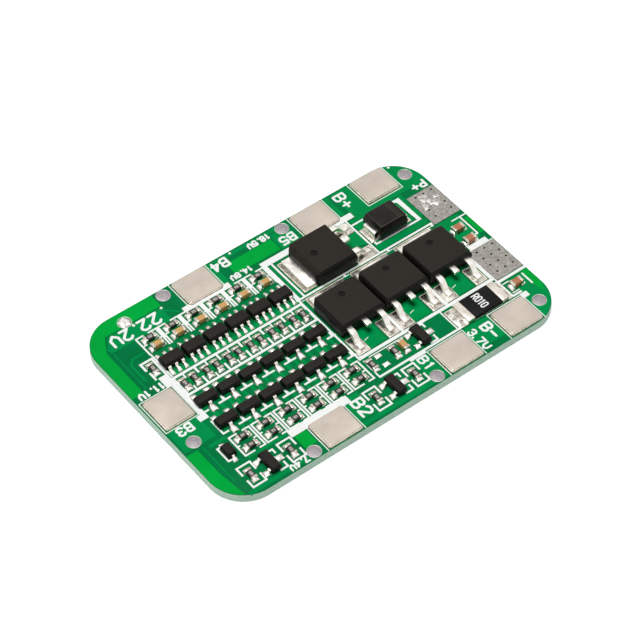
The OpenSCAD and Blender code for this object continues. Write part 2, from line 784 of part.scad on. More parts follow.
module transistor_lands() {
    inner = sot_span / 2 - sot_foot - lead_t;
    w = sot_lead_w + 2 * sot_lip;
    front_l = sot_land_front - inner;
    rear_l = sot_land_rear - inner;
    translate([0, -inner - front_l / 2, 0])
        rounded_plate(w, front_l, land_t, land_r);
    for (x = [-sot_pitch / 2, sot_pitch / 2])
        translate([x, inner + rear_l / 2, 0])
            rounded_plate(w, rear_l, land_t, land_r);
}

module fet_lands() {
    toe = fet_l / 2 + fet_reach + fet_toe;
    for (side = [-1, 1])
        translate([side * fet_pitch, fet_land_l / 2 - toe, 0])
            rounded_plate(fet_land_w, fet_land_l, land_t, land_r);
    drain_l = fet_tab + fet_toe + fet_l - fet_slug_in;
    translate([0, fet_l / 2 + fet_tab + fet_toe - drain_l / 2, 0])
        rounded_plate(fet_tab_w + 2 * fet_lip, drain_l, land_t, land_r);
}

module shunt_lands() {
    inner = shunt_l / 2 - shunt_end;
    for (toe = [[-1, shunt_toe_left], [1, shunt_toe_right]])
        translate([toe[0] * (inner + (shunt_end + toe[1]) / 2), 0, 0])
            rounded_plate(shunt_end + toe[1], shunt_w, land_t, land_r);
}

// Body of a chip: a plain block that its plated ends wrap
module chip_core(l, w, h) {
    translate([0, 0, land_t + plating_t])
        block(l - 2 * plating_t, w - 2 * plating_t, h - 2 * plating_t);
}

// The two plated ends of a chip
module chip_ends(l, w, h, end) {
    difference() {
        for (side = [-1, 1])
            translate([side * (l - end) / 2, 0, land_t])
                block(end, w, h);
        chip_core(l, w, h);
    }
}

module resistor_bodies(spots) {
    color("#2b2a2c")
        on_board(spots)
            chip_core(chip_l, chip_w, resistor_h);
}

module resistor_ends(spots) {
    color("#d6d2ce")
        on_board(spots)
            chip_ends(chip_l, chip_w, resistor_h, chip_end);
}

module capacitor_bodies(spots, w, shade) {
    color(shade)
        on_board(spots)
            chip_core(chip_l, w, capacitor_h);
}

module capacitor_ends(spots, w) {
    color("#d6d2ce")
        on_board(spots)
            chip_ends(chip_l, w, capacitor_h, chip_end);
}

module supply_resistors() {
    resistor_bodies(SUPPLY_SPOTS);
}

module supply_resistor_ends() {
    resistor_ends(SUPPLY_SPOTS);
}

module divider_resistors() {
    resistor_bodies(DIVIDER_SPOTS);
}

module divider_resistor_ends() {
    resistor_ends(DIVIDER_SPOTS);
}

module bleed_resistors() {
    resistor_bodies(BLEED_SPOTS);
}

module bleed_resistor_ends() {
    resistor_ends(BLEED_SPOTS);
}

module bias_resistors() {
    resistor_bodies(BIAS_SPOTS);
}

module bias_resistor_ends() {
    resistor_ends(BIAS_SPOTS);
}

module filter_capacitors() {
    capacitor_bodies(FILTER_SPOTS, chip_w, "#d2a569");
}

module filter_capacitor_ends() {
    capacitor_ends(FILTER_SPOTS, chip_w);
}

module output_capacitors() {
    capacitor_bodies(OUTPUT_CAP_SPOTS, output_cap_w, "#be7855");
}

module output_capacitor_ends() {
    capacitor_ends(OUTPUT_CAP_SPOTS, output_cap_w);
}

// One six-lead cell monitor, as its body and its leads
module cell_monitor(i) {
    color("#3a3533")
        on_board([MONITOR_SPOTS[i]])
            small_body(ic_l, ic_w, ic_standoff, ic_h, ic_exit);
}

module cell_monitor_leads(i) {
    reach = (ic_span - ic_w) / 2;
    path = gull_path(ic_exit, reach, lead_t, ic_foot, lead_t);
    color("#e0dcd6")
        on_board([MONITOR_SPOTS[i]])
            for (side = [-1, 1])
                lead_row([-ic_pitch, 0, ic_pitch], side, ic_w, path, lead_t, ic_lead_w);
}

// Three-lead transistors: one lead in front and two at the rear
module transistor_bodies(spots) {
    color("#2c2827")
        on_board(spots)
            small_body(sot_l, sot_w, land_t, sot_h, sot_exit);
}

module transistor_leads(spots) {
    reach = (sot_span - sot_w) / 2;
    path = gull_path(sot_exit, reach, lead_t, sot_foot, lead_t);
    color("#e0dcd6")
        on_board(spots) {
            lead_row([0], -1, sot_w, path, lead_t, sot_lead_w);
            lead_row([-sot_pitch / 2, sot_pitch / 2], 1, sot_w, path, lead_t, sot_lead_w);
        }
}

module upper_transistors() {
    transistor_bodies(UPPER_SPOTS);
}

module upper_transistor_leads() {
    transistor_leads(UPPER_SPOTS);
}

module lower_transistors() {
    transistor_bodies(LOWER_SPOTS);
}

module lower_transistor_leads() {
    transistor_leads(LOWER_SPOTS);
}

module driver_transistors() {
    transistor_bodies(DRIVER_SPOTS);
}

module driver_transistor_leads() {
    transistor_leads(DRIVER_SPOTS);
}

// Drain slug of a power transistor: a plate under the body that reaches out as its tab
module drain_slug() {
    slug_l = fet_l - fet_slug_in + fet_tab;
    translate([0, fet_l / 2 + fet_tab - slug_l / 2, land_t])
        block(fet_tab_w, slug_l, fet_frame_t);
}

// Moulded body of a power transistor, its leads towards -Y and its tab towards +Y
module power_fet(i) {
    z1 = land_t + fet_h;
    side = moulded_outline(
        fet_w, land_t, z1, fet_exit_z, fet_frame_t, fet_undercut, fet_draft, fet_draft
    );
    length = moulded_outline(
        fet_l, land_t, z1, fet_exit_z, fet_frame_t, fet_undercut, fet_draft_front, fet_draft_tab
    );
    color("#322e2c")
        on_board([FET_SPOTS[i]])
            difference() {
                intersection() {
                    moulded_block(side, length, fet_w, fet_l);
                    linear_extrude(z1 + over)
                        polygon([
                            [-fet_w / 2 - over, -fet_l / 2 - over],
                            [fet_w / 2 + over, -fet_l / 2 - over],
                            [fet_w / 2 + over, fet_l / 2 - fet_chamfer - over],
                            [fet_w / 2 - fet_chamfer - over, fet_l / 2 + over],
                            [-fet_w / 2 + fet_chamfer + over, fet_l / 2 + over],
                            [-fet_w / 2 - over, fet_l / 2 - fet_chamfer - over]
                        ]);
                }
                drain_slug();
                translate([0, fet_l / 2 - fet_mark_in, z1 - fet_mark_t])
                    cylinder(h = fet_mark_t + over, d = fet_mark_d);
            }
}

// Lead frame of a power transistor: drain slug, two formed leads and the cropped middle one
module power_fet_frame(i) {
    path = gull_path(fet_exit_z, fet_reach, fet_shoulder, fet_foot, fet_frame_t);
    color("#dcd6ce")
        on_board([FET_SPOTS[i]]) {
            drain_slug();
            lead_row([-fet_pitch, fet_pitch], -1, fet_l, path, fet_frame_t, fet_lead_w);
            translate([0, -(fet_l + fet_stub) / 2, fet_exit_z - fet_frame_t / 2])
                block(fet_lead_w, fet_stub, fet_frame_t);
        }
}

// Side view of the blocking diode's body, with the draft of two of its sides
function diode_outline(l, draft) = moulded_outline(
    l, diode_floor, diode_floor + diode_h, diode_exit, diode_strip, diode_undercut, draft, draft
);

// Blocking diode between the two terminals that fold under it
module blocking_diode() {
    color("#262322")
        on_board(DIODE_SPOTS)
            moulded_block(
                diode_outline(diode_l, diode_draft_end),
                diode_outline(diode_w, diode_draft_side),
                diode_l, diode_w
            );
}

module blocking_diode_terminals() {
    out = (diode_span - diode_l - diode_strip) / 2;
    foot_z = land_t + diode_strip / 2;
    path = [
        [0, diode_exit],
        [out, diode_exit],
        [out, foot_z],
        [-diode_foot, foot_z]
    ];
    color("#d8d4ce")
        on_board(DIODE_SPOTS)
            for (turn = [0, 180])
                rotate(turn)
                    translate([diode_l / 2, 0, 0])
                        bent_strip(path, diode_strip, diode_strip_w);
}

// Current shunt and its wide plated ends
module current_shunt() {
    color("#1c1a1a")
        on_board(SHUNT_SPOTS)
            chip_core(shunt_l, shunt_w, shunt_h);
}

module current_shunt_ends() {
    color("#d9d5cf")
        on_board(SHUNT_SPOTS)
            chip_ends(shunt_l, shunt_w, shunt_h, shunt_end);
}

// Small two-lead diode at the left edge
module signal_diode() {
    color("#2c2827")
        on_board(SIGNAL_SPOTS)
            small_body(sod_l, sod_w, land_t, sod_h, sod_exit);
}

module signal_diode_leads() {
    reach = (sod_span - sod_l) / 2;
    path = gull_path(sod_exit, reach, lead_t, sot_foot, lead_t);
    color("#e0dcd6")
        on_board(SIGNAL_SPOTS)
            for (turn = [0, 180])
                rotate(turn)
                    translate([sod_l / 2, 0, 0])
                        bent_strip(path, lead_t, sod_lead_w);
}

circuit_board();
solder_lands();
tab_lands();
for (i = [0:len(TAB_NAMES) - 1])
    nickel_tab(i);
output_pad_plus();
output_pad_minus();
sense_wire_pads();
for (i = [0:cells - 1])
    cell_monitor(i);
for (i = [0:cells - 1])
    cell_monitor_leads(i);
for (i = [0:row_fets])
    power_fet(i);
for (i = [0:row_fets])
    power_fet_frame(i);
blocking_diode();
blocking_diode_terminals();
current_shunt();
current_shunt_ends();
filter_capacitors();
filter_capacitor_ends();
output_capacitors();
output_capacitor_ends();
supply_resistors();
supply_resistor_ends();
divider_resistors();
divider_resistor_ends();
bleed_resistors();
bleed_resistor_ends();
bias_resistors();
bias_resistor_ends();
upper_transistors();
upper_transistor_leads();
lower_transistors();
lower_transistor_leads();
driver_transistors();
driver_transistor_leads();
signal_diode();
signal_diode_leads();
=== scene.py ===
import math
import random

import bmesh
import bpy
from mathutils import Matrix, Vector
from mathutils.geometry import delaunay_2d_cdt


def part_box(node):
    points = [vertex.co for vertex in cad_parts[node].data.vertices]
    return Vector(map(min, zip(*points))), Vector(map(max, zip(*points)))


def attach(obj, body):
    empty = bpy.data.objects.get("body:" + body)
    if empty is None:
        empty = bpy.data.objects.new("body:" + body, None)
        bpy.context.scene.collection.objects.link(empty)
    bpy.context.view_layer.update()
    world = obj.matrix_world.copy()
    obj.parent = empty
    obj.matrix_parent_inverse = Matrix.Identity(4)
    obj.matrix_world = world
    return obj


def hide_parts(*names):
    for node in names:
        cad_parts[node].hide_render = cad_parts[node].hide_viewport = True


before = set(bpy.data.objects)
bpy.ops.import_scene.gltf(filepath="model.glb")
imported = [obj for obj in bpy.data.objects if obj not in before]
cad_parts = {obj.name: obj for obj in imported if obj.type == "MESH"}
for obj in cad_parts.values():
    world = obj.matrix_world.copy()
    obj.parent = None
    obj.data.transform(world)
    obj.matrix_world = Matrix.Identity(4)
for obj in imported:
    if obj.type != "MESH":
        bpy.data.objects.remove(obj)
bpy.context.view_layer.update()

mm = 0.001


# ---- Studio
# The board lies flat on a white table, under a square soft box that hangs a metre above it. The
# camera and bare metal see the table and walls as white, and the board gets little light back.

scene = bpy.context.scene
scene.view_settings.view_transform = "Standard"


def add(tree, kind, **settings):
    """A node of one kind, with its own settings and the inputs of those names filled in."""
    node = tree.nodes.new(kind)
    for name, value in settings.items():
        if hasattr(node, name):
            setattr(node, name, value)
        else:
            node.inputs[name.replace("_", " ")].default_value = value
    return node


def join(tree, source, target):
    tree.links.new(source, target)


def white_for_eye_and_metal(tree):
    """1 where the camera or a mirror looks, 0 where light falls on the board."""
    path = add(tree, "ShaderNodeLightPath")
    first = add(tree, "ShaderNodeMath", operation="MAXIMUM")
    second = add(tree, "ShaderNodeMath", operation="MAXIMUM")
    join(tree, path.outputs["Is Camera Ray"], first.inputs[0])
    join(tree, path.outputs["Is Glossy Ray"], first.inputs[1])
    join(tree, first.outputs[0], second.inputs[0])
    join(tree, path.outputs["Is Transmission Ray"], second.inputs[1])
    return second.outputs[0]


# A long lens that looks down over the board's front left corner
camera_data = bpy.data.cameras.new("camera")
camera_data.lens = 141
camera_data.sensor_width = 36
camera_data.clip_start = 0.01
camera = bpy.data.objects.new("camera", camera_data)
scene.collection.objects.link(camera)
camera_look = Vector((0.40748, 0.51593, -0.75351)).normalized()
camera_right = camera_look.cross(Vector((0.46256, 0.59483, 0.65743))).normalized()
camera_up = camera_right.cross(camera_look)
camera_turn = Matrix((camera_right, camera_up, -camera_look)).transposed().to_4x4()
camera.matrix_world = Matrix.Translation(Vector((-0.12220, -0.15427, 0.22699))) @ camera_turn
scene.camera = camera


def soft_box(name, place, size, power):
    """A square soft light that faces the board."""
    data = bpy.data.lights.new(name, "AREA")
    data.shape = "SQUARE"
    data.size = size
    data.energy = power
    lamp = bpy.data.objects.new(name, data)
    scene.collection.objects.link(lamp)
    lamp.location = place
    lamp.rotation_euler = (-Vector(place)).to_track_quat("-Z", "Y").to_euler()


soft_box("light_overhead", (-0.15, 0.04, 1.00), 0.5, 9.0)

# Walls that give a little even light, and look white in metal
world = bpy.data.worlds.new("studio")
scene.world = world
world.use_nodes = True
sky = world.node_tree
sky.nodes.clear()
sky_light = add(sky, "ShaderNodeBackground", Color=(1, 1, 1, 1), Strength=0.10)
sky_white = add(sky, "ShaderNodeBackground", Color=(1, 1, 1, 1), Strength=1.0)
sky_mix = add(sky, "ShaderNodeMixShader")
join(sky, white_for_eye_and_metal(sky), sky_mix.inputs[0])
join(sky, sky_light.outputs[0], sky_mix.inputs[1])
join(sky, sky_white.outputs[0], sky_mix.inputs[2])
join(sky, sky_mix.outputs[0], add(sky, "ShaderNodeOutputWorld").inputs["Surface"])

# The table, with a glow that only the camera and mirrors see
table_mesh = bpy.data.meshes.new("table")
table_reach = 2.0
table_mesh.from_pydata(
    [(x * table_reach, y * table_reach, 0) for x, y in ((-1, -1), (1, -1), (1, 1), (-1, 1))],
    [], [(0, 1, 2, 3)],
)
table = bpy.data.objects.new("table", table_mesh)
scene.collection.objects.link(table)
table_white = bpy.data.materials.new("table_white")
table_white.use_nodes = True
tree = table_white.node_tree
paper = tree.nodes["Principled BSDF"]
paper.inputs["Base Color"].default_value = (0.8, 0.8, 0.8, 1)
paper.inputs["Roughness"].default_value = 0.9
paper.inputs["Specular IOR Level"].default_value = 0.0
table_glow = add(tree, "ShaderNodeEmission", Color=(1, 1, 1, 1), Strength=0.5)
table_sum = add(tree, "ShaderNodeAddShader")
table_mix = add(tree, "ShaderNodeMixShader")
join(tree, paper.outputs[0], table_sum.inputs[0])
join(tree, table_glow.outputs[0], table_sum.inputs[1])
join(tree, white_for_eye_and_metal(tree), table_mix.inputs[0])
join(tree, paper.outputs[0], table_mix.inputs[1])
join(tree, table_sum.outputs[0], table_mix.inputs[2])
join(tree, table_mix.outputs[0], tree.nodes["Material Output"].inputs["Surface"])
table_mesh.materials.append(table_white)


# ---- Board
# Glass-fibre laminate under a glossy green solder mask on both faces. Its routed edge is bare
# and shows the pale fibre, and the mask reads darker where no copper lies under it.

# Lengths in this file are in mm off the board's front left corner, unless they say otherwise
board_low, board_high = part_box("circuit_board")
board_top = board_high.z / mm
board_length = (board_high.x - board_low.x) / mm
board_width = (board_high.y - board_low.y) / mm


def box_on_board(node):
    """A node's box as (low, high) corners."""
    return [Vector((end.x - board_low.x, end.y - board_low.y, end.z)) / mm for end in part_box(node)]


def colour(red, green, blue):
    """A display colour, 0 to 255, as the linear colour of a shader."""
    parts = [c / 255 for c in (red, green, blue)]
    return [c / 12.92 if c <= 0.04045 else ((c + 0.055) / 1.055) ** 2.4 for c in parts] + [1]


def new_effect(name, inputs, outputs):
    """An empty shader group with named number inputs, and its two ends."""
    group = bpy.data.node_groups.new(name, "ShaderNodeTree")
    for label, value in inputs.items():
        socket = group.interface.new_socket(label, in_out="INPUT", socket_type="NodeSocketFloat")
        socket.default_value = value
    for label, kind in outputs.items():
        group.interface.new_socket(label, in_out="OUTPUT", socket_type=kind)
    return group, group.nodes.new("NodeGroupInput"), group.nodes.new("NodeGroupOutput")


# Patches of gloss, tone and height, as in lacquer, cast solder and moulded plastic
patches, given, wanted = new_effect(
    "patches",
    {"Size": 1.0, "Smooth": 0.3, "Rough": 0.5, "Depth": 0.1},
    {"Tone": "NodeSocketFloat", "Roughness": "NodeSocketFloat", "Normal": "NodeSocketVector"},
)
patch_place = add(patches, "ShaderNodeTexCoord")
patch_scale = add(patches, "ShaderNodeMath", operation="DIVIDE")
patch_scale.inputs[0].default_value = 1 / mm
patch_noise = add(patches, "ShaderNodeTexNoise", Detail=3.0)
patch_spread = add(patches, "ShaderNodeMapRange", From_Min=0.3, From_Max=0.7)
patch_gloss = add(patches, "ShaderNodeMapRange")
patch_bump = add(patches, "ShaderNodeBump", Distance=0.1 * mm)
join(patches, given.outputs["Size"], patch_scale.inputs[1])
join(patches, patch_scale.outputs[0], patch_noise.inputs["Scale"])
join(patches, patch_place.outputs["Object"], patch_noise.inputs["Vector"])
join(patches, patch_noise.outputs[0], patch_spread.inputs["Value"])
join(patches, patch_spread.outputs["Result"], patch_gloss.inputs["Value"])
join(patches, given.outputs["Smooth"], patch_gloss.inputs["To Min"])
join(patches, given.outputs["Rough"], patch_gloss.inputs["To Max"])
join(patches, patch_noise.outputs[0], patch_bump.inputs["Height"])
join(patches, given.outputs["Depth"], patch_bump.inputs["Strength"])
join(patches, patch_spread.outputs["Result"], wanted.inputs["Tone"])
join(patches, patch_gloss.outputs["Result"], wanted.inputs["Roughness"])
join(patches, patch_bump.outputs[0], wanted.inputs["Normal"])


def surface(name, dark, light, size, smooth, rough, depth, metallic=0.0, shine=0.5):
    """A finish that wanders between two colours and two roughnesses in patches of a size."""
    made = bpy.data.materials.new(name)
    made.use_nodes = True
    tree = made.node_tree
    shader = tree.nodes["Principled BSDF"]
    uneven = tree.nodes.new("ShaderNodeGroup")
    uneven.node_tree = patches
    for label, value in (("Size", size), ("Smooth", smooth), ("Rough", rough), ("Depth", depth)):
        uneven.inputs[label].default_value = value
    mix = add(tree, "ShaderNodeMix", data_type="RGBA")
    join(tree, uneven.outputs["Tone"], mix.inputs[0])
    mix.inputs[6].default_value = colour(*dark)
    mix.inputs[7].default_value = colour(*light)
    join(tree, mix.outputs[2], shader.inputs["Base Color"])
    join(tree, uneven.outputs["Roughness"], shader.inputs["Roughness"])
    join(tree, uneven.outputs["Normal"], shader.inputs["Normal"])
    shader.inputs["Metallic"].default_value = metallic
    shader.inputs["Specular IOR Level"].default_value = shine
    return made


def dress(piece, *finishes):
    """Gives a piece its finishes in place of those it came with."""
    piece.data.materials.clear()
    for finish in finishes:
        piece.data.materials.append(finish)


def settle(piece):
    """Sets a new piece on the board, which is the only body."""
    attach(piece, "root")


def merged(node):
    """A CAD node's mesh with its loose triangles joined up again."""
    bm = bmesh.new()
    bm.from_mesh(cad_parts[node].data)
    bmesh.ops.remove_doubles(bm, verts=bm.verts, dist=1e-7)
    return bm


crisp = math.radians(25)
sharp_look = math.radians(40)


def softened(node, slot, radius, *finishes, segments=2):
    """A copy of a CAD node with its crisp edges rounded to a radius, which stands for it."""
    bm = merged(node)
    bmesh.ops.dissolve_limit(bm, angle_limit=math.radians(1), verts=bm.verts, edges=bm.edges)
    edges = [e for e in bm.edges if len(e.link_faces) == 2 and e.calc_face_angle(0) > crisp]
    bmesh.ops.bevel(
        bm, geom=edges, offset=radius * mm, segments=segments, affect="EDGES", profile=0.5,
        clamp_overlap=True,
    )
    bmesh.ops.triangulate(bm, faces=[f for f in bm.faces if len(f.verts) > 4])
    for face in bm.faces:
        face.smooth = True
    mesh = bpy.data.meshes.new("soft_" + node)
    bm.to_mesh(mesh)
    bm.free()
    mesh.set_sharp_from_angle(angle=sharp_look)
    piece = bpy.data.objects.new("soft_" + node, mesh)
    scene.collection.objects.link(piece)
    dress(piece, *finishes)
    settle(piece)
    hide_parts(node)
    return piece


mask_bare = surface(
    "mask_over_laminate", (0, 116, 62), (0, 128, 70), 4.0, 0.22, 0.34, 0.02, shine=0.04
)
glass_fibre = surface(
    "glass_fibre", (196, 236, 212), (226, 246, 230), 0.5, 0.5, 0.7, 0.2, shine=0.2
)
board = softened("circuit_board", "laminate", 0.05, mask_bare, glass_fibre)
level = 0.9
for face in board.data.polygons:
    if abs(face.normal.z) < level:
        face.material_index = 1


# ---- Copper under the mask
# Etched pours and tracks that stand a hair above the laminate under the same green mask, which
# looks brighter over metal. Overlapping outlines become one flat sheet.

copper_height = 0.035
sunk = 0.004


def box_shape(x0, y0, x1, y1):
    return [(x0, y0), (x1, y0), (x1, y1), (x0, y1)]


def stroke(points, width, ends=10):
    """Outlines of a pen line of some width through points, with round ends and joints."""
    shapes = []
    half = width / 2
    for start, end in zip(points, points[1:]):
        along = (Vector(end) - Vector(start)).normalized() * half
        side = Vector((along.y, -along.x))
        a, b = Vector(start), Vector(end)
        shapes.append([tuple(p) for p in (a + side, b + side, b - side, a - side)])
    for x, y in points:
        steps = [2 * math.pi * (k + 0.37) / ends for k in range(ends)]
        shapes.append([(x + half * math.cos(t), y + half * math.sin(t)) for t in steps])
    return shapes


def sheet_of(name, shapes, top, finish, base=board_top - sunk):
    """One thin solid over all the outlines, from a base up to a top above the board."""
    points, faces = [], []
    for outline in shapes:
        area = sum(a[0] * b[1] - b[0] * a[1] for a, b in zip(outline, outline[1:] + outline[:1]))
        outline = outline if area > 0 else outline[::-1]
        faces.append(list(range(len(points), len(points) + len(outline))))
        points += [Vector(p) for p in outline]
    spots, _, cells, _, _, sources = delaunay_2d_cdt(points, [], faces, 1, 1e-5)
    bm = bmesh.new()
    corners = [
        bm.verts.new((board_low.x + p.x * mm, board_low.y + p.y * mm, base * mm)) for p in spots
    ]
    for cell, source in zip(cells, sources):
        if source:
            bm.faces.new([corners[k] for k in cell])
    bmesh.ops.delete(bm, geom=[v for v in bm.verts if not v.link_faces], context="VERTS")
    bmesh.ops.dissolve_limit(bm, angle_limit=0.01, verts=bm.verts, edges=bm.edges)
    bmesh.ops.triangulate(bm, faces=bm.faces)
    raised = bmesh.ops.extrude_face_region(bm, geom=list(bm.faces))["geom"]
    lift = Vector((0, 0, (board_top + top - base) * mm))
    lifted = [part for part in raised if isinstance(part, bmesh.types.BMVert)]
    bmesh.ops.translate(bm, vec=lift, verts=lifted)
    bmesh.ops.recalc_face_normals(bm, faces=bm.faces)
    mesh = bpy.data.meshes.new(name)
    bm.to_mesh(mesh)
    bm.free()
    piece = bpy.data.objects.new(name, mesh)
    scene.collection.objects.link(piece)
    dress(piece, finish)
    settle(piece)


mask_copper = surface(
    "mask_over_copper", (0, 165, 60), (0, 176, 66), 4.0, 0.22, 0.32, 0.02, shine=0.04
)
mask_mid = surface(
    "mask_over_thin_copper", (0, 140, 72), (0, 152, 80), 4.0, 0.22, 0.34, 0.02, shine=0.04
)

# The radius of the board's corners, and the rim that copper and ink stop short of
corner_radius = 4.8
rim = 0.07
far_rim = board_length - rim


def board_corner(x_side, y_side, inset, steps=8):
    """Points round one corner of the board, set in from its edge."""
    radius = corner_radius - inset
    cx = corner_radius if x_side < 0 else board_length - corner_radius
    cy = corner_radius if y_side < 0 else board_width - corner_radius
    first = {(-1, -1): 180, (1, -1): 270, (1, 1): 0, (-1, 1): 90}[(x_side, y_side)]
    angles = [math.radians(first + 90 * k / steps) for k in range(steps + 1)]
    return [(cx + radius * math.cos(a), cy + radius * math.sin(a)) for a in angles]


# Broad pours of the battery's own nodes, which look the brightest
battery_pour = [
    [(rim, 20.0), (1.7, 20.0), (1.75, 27.6), (2.3, 28.6), (3.0, 29.8), (11.2, 29.8)]
    + [(11.2, board_width - rim)] + board_corner(-1, 1, rim),
    [(rim, corner_radius)] + board_corner(-1, -1, rim)[:6]
    + [(1.9, 3.2), (1.65, 5.0), (1.65, 9.35), (rim, 9.35)],
    box_shape(21.4, 28.35, 28.2, 30.45),
    box_shape(11.55, 1.95, 13.25, 4.1),
    box_shape(49.3, 15.4, far_rim, 18.6),
    [(48.9, 7.5), (48.9, 4.6), (49.3, 3.4), (far_rim, corner_radius), (far_rim, 7.5)],
]

# Smaller pours round the tabs, the transistors and the small parts
signal_copper = [
    [(2.3, 27.2), (11.0, 27.2), (11.0, 29.6), (3.3, 29.6), (2.6, 28.6), (2.0, 27.9)],
    [(0.3, 9.75), (4.65, 9.75), (4.65, 13.7), (0.3, 13.7)],
    box_shape(18.8, 28.1, 20.1, 31.8),
    box_shape(20.3, 31.15, 31.2, 31.8),
    box_shape(28.4, 28.1, 31.2, 31.0),
    box_shape(37.2, 28.1, 38.0, 31.8),
    [(38.7, 26.6), (49.75, 26.6)] + board_corner(1, 1, rim) + [(38.7, 31.75)],
    box_shape(37.65, 20.65, 45.4, 21.6),
    box_shape(45.0, 21.9, 45.6, 26.5),
    box_shape(37.7, 22.1, 44.3, 26.9),
    box_shape(25.25, 20.7, 25.5, 26.9),
    box_shape(36.6, 22.6, 37.2, 25.0),
    box_shape(35.3, 22.8, 37.2, 25.0),
    box_shape(45.75, 15.0, 49.1, 19.7),
    box_shape(5.6, 19.9, 24.6, 20.6),
    box_shape(5.7, 17.9, 24.6, 18.4),
    box_shape(26.95, 9.1, 29.35, 12.3),
    box_shape(33.75, 9.1, 36.15, 12.3),
    box_shape(40.55, 9.1, 42.95, 12.3),
    box_shape(29.4, 0.3, 31.6, 4.5),
    box_shape(37.1, 1.0, 41.0, 4.6),
    box_shape(18.9, 0.3, 31.0, 1.0),
    box_shape(19.0, 1.2, 21.4, 5.0),
    box_shape(2.6, 0.4, 11.0, 1.0),
    [(46.6, 0.3)] + board_corner(1, -1, rim)[2:] + [(far_rim, 7.4), (46.6, 7.4)],
    box_shape(5.6, 4.75, 11.2, 5.15),
]

# Tracks as (points, width)
tracks = [
    ([(2.33, 20.2), (2.33, 26.9)], 0.2),
    ([(2.33, 3.2), (2.33, 9.3)], 0.2),
    ([(2.95, 21.4), (2.95, 24.3), (3.6, 25.0), (5.3, 25.0)], 0.35),
    ([(3.7, 20.6), (5.2, 20.6)], 0.3),
    ([(10.9, 29.2), (12.3, 27.8)], 0.25),
    ([(19.6, 28.3), (19.6, 31.0)], 0.3),
    ([(3.2, 8.9), (5.2, 8.9)], 0.5),
    ([(26.3, 4.9), (29.0, 4.9)], 0.4),
]

# One column of parts for each cell, and its own tracks as (place off its middle, front, rear)
columns = 6
first_low, first_high = box_on_board("cell_monitor_1")
first_column = (first_low.x + first_high.x) / 2
column_pitch = box_on_board("cell_monitor_2")[0].x - first_low.x
for column in range(columns):
    x = first_column + column * column_pitch
    for side, front, rear in ((0.75, 12.0, 13.3), (1.9, 12.0, 13.3), (-0.55, 12.0, 13.3),
                              (0.75, 8.6, 9.4), (1.9, 8.6, 9.4), (0.3, 26.9, 27.4)):
        tracks.append(([(x + side, front), (x + side, rear)], 0.45))
for points, width in tracks:
    signal_copper += stroke(points, width)
sheet_of("battery_pour", battery_pour, copper_height, mask_copper)
thin_copper_height = 0.028
sheet_of("signal_copper", signal_copper, thin_copper_height, mask_mid)


# ---- White legend
# Epoxy ink screened over the mask: a frame round each part, solid bars behind the tabs, and
# the marks of the terminals and of the voltage at each tap, lettered with a round pen.

ink_top = 0.06
legend_pen = 0.22
legend = []


def bar(x0, y0, x1, y1):
    """A solid bar of ink."""
    legend.append(box_shape(x0, y0, x1, y1))


def rule(points, width=legend_pen):
    """A square-cornered line through points that run along the board's sides."""
    half = width / 2
    for (x0, y0), (x1, y1) in zip(points, points[1:]):
        bar(min(x0, x1) - half, min(y0, y1) - half, max(x0, x1) + half, max(y0, y1) + half)


# Pen strokes of each character in a cell 4 wide and 6 high
strokes = {
    "0": [[(1, 0), (0, 1), (0, 5), (1, 6), (3, 6), (4, 5), (4, 1), (3, 0), (1, 0)]],
    "1": [[(1, 5), (2, 6), (2, 0)]],
    "2": [[(0, 5), (1, 6), (3, 6), (4, 5), (4, 4), (0, 0), (4, 0)]],
    "3": [[(0, 5), (1, 6), (3, 6), (4, 5), (4, 4), (3, 3), (1.6, 3)],
          [(3, 3), (4, 2), (4, 1), (3, 0), (1, 0), (0, 1)]],
    "4": [[(3, 0), (3, 6), (0, 1.8), (4, 1.8)]],
    "5": [[(4, 6), (0.3, 6), (0, 3.4), (3, 3.6), (4, 2.6), (4, 1), (3, 0), (1, 0), (0, 1)]],
    "7": [[(0, 6), (4, 6), (1.2, 0)]],
    "8": [[(1, 3.1), (0, 4), (0, 5), (1, 6), (3, 6), (4, 5), (4, 4), (3, 3.1), (1, 3.1), (0, 2),
           (0, 1), (1, 0), (3, 0), (4, 1), (4, 2), (3, 3.1)]],
    "B": [[(0, 0), (0, 6), (3, 6), (4, 5), (4, 4.1), (3, 3.1), (0, 3.1)],
          [(3, 3.1), (4, 2.1), (4, 1), (3, 0), (0, 0)]],
    "P": [[(0, 0), (0, 6), (3, 6), (4, 5), (4, 3.8), (3, 2.8), (0, 2.8)]],
    "R": [[(0, 0), (0, 6), (3, 6), (4, 5), (4, 3.8), (3, 2.8), (0, 2.8)], [(2, 2.8), (4, 0)]],
    "V": [[(0, 6), (0, 2), (2, 0), (4, 2), (4, 6)]],
    "+": [[(0, 3), (4, 3)], [(2, 1), (2, 5)]],
    "-": [[(0, 3), (4, 3)]],
    ".": [[(0, 0.1), (0, 0.5)]],
}
cell_height = 6
cell_width = 4
narrow_cells = {"1": 3.4, ".": 1.8}
letter_gap = 1.9


def word(text, x, y, height, turn, pen, squeeze=1.0):
    """Outlines of a word in pen strokes, centred on a place and turned by some degrees."""
    unit = height / cell_height
    widths = [narrow_cells.get(c, cell_width) for c in text]
    length = sum(widths) + letter_gap * (len(text) - 1)
    angle = math.radians(turn)
    along = Vector((math.cos(angle), math.sin(angle)))
    up = Vector((-along.y, along.x))
    middle = Vector((x, y))
    shapes, start = [], -length / 2
    for character, width in zip(text, widths):
        for points in strokes[character]:
            placed = []
            for px, py in points:
                across = along * unit * squeeze * (start + px)
                rise = up * unit * (py - cell_height / 2)
                placed.append(tuple(middle + across + rise))
            shapes += stroke(placed, pen, 8)
        start += width + letter_gap
    return shapes


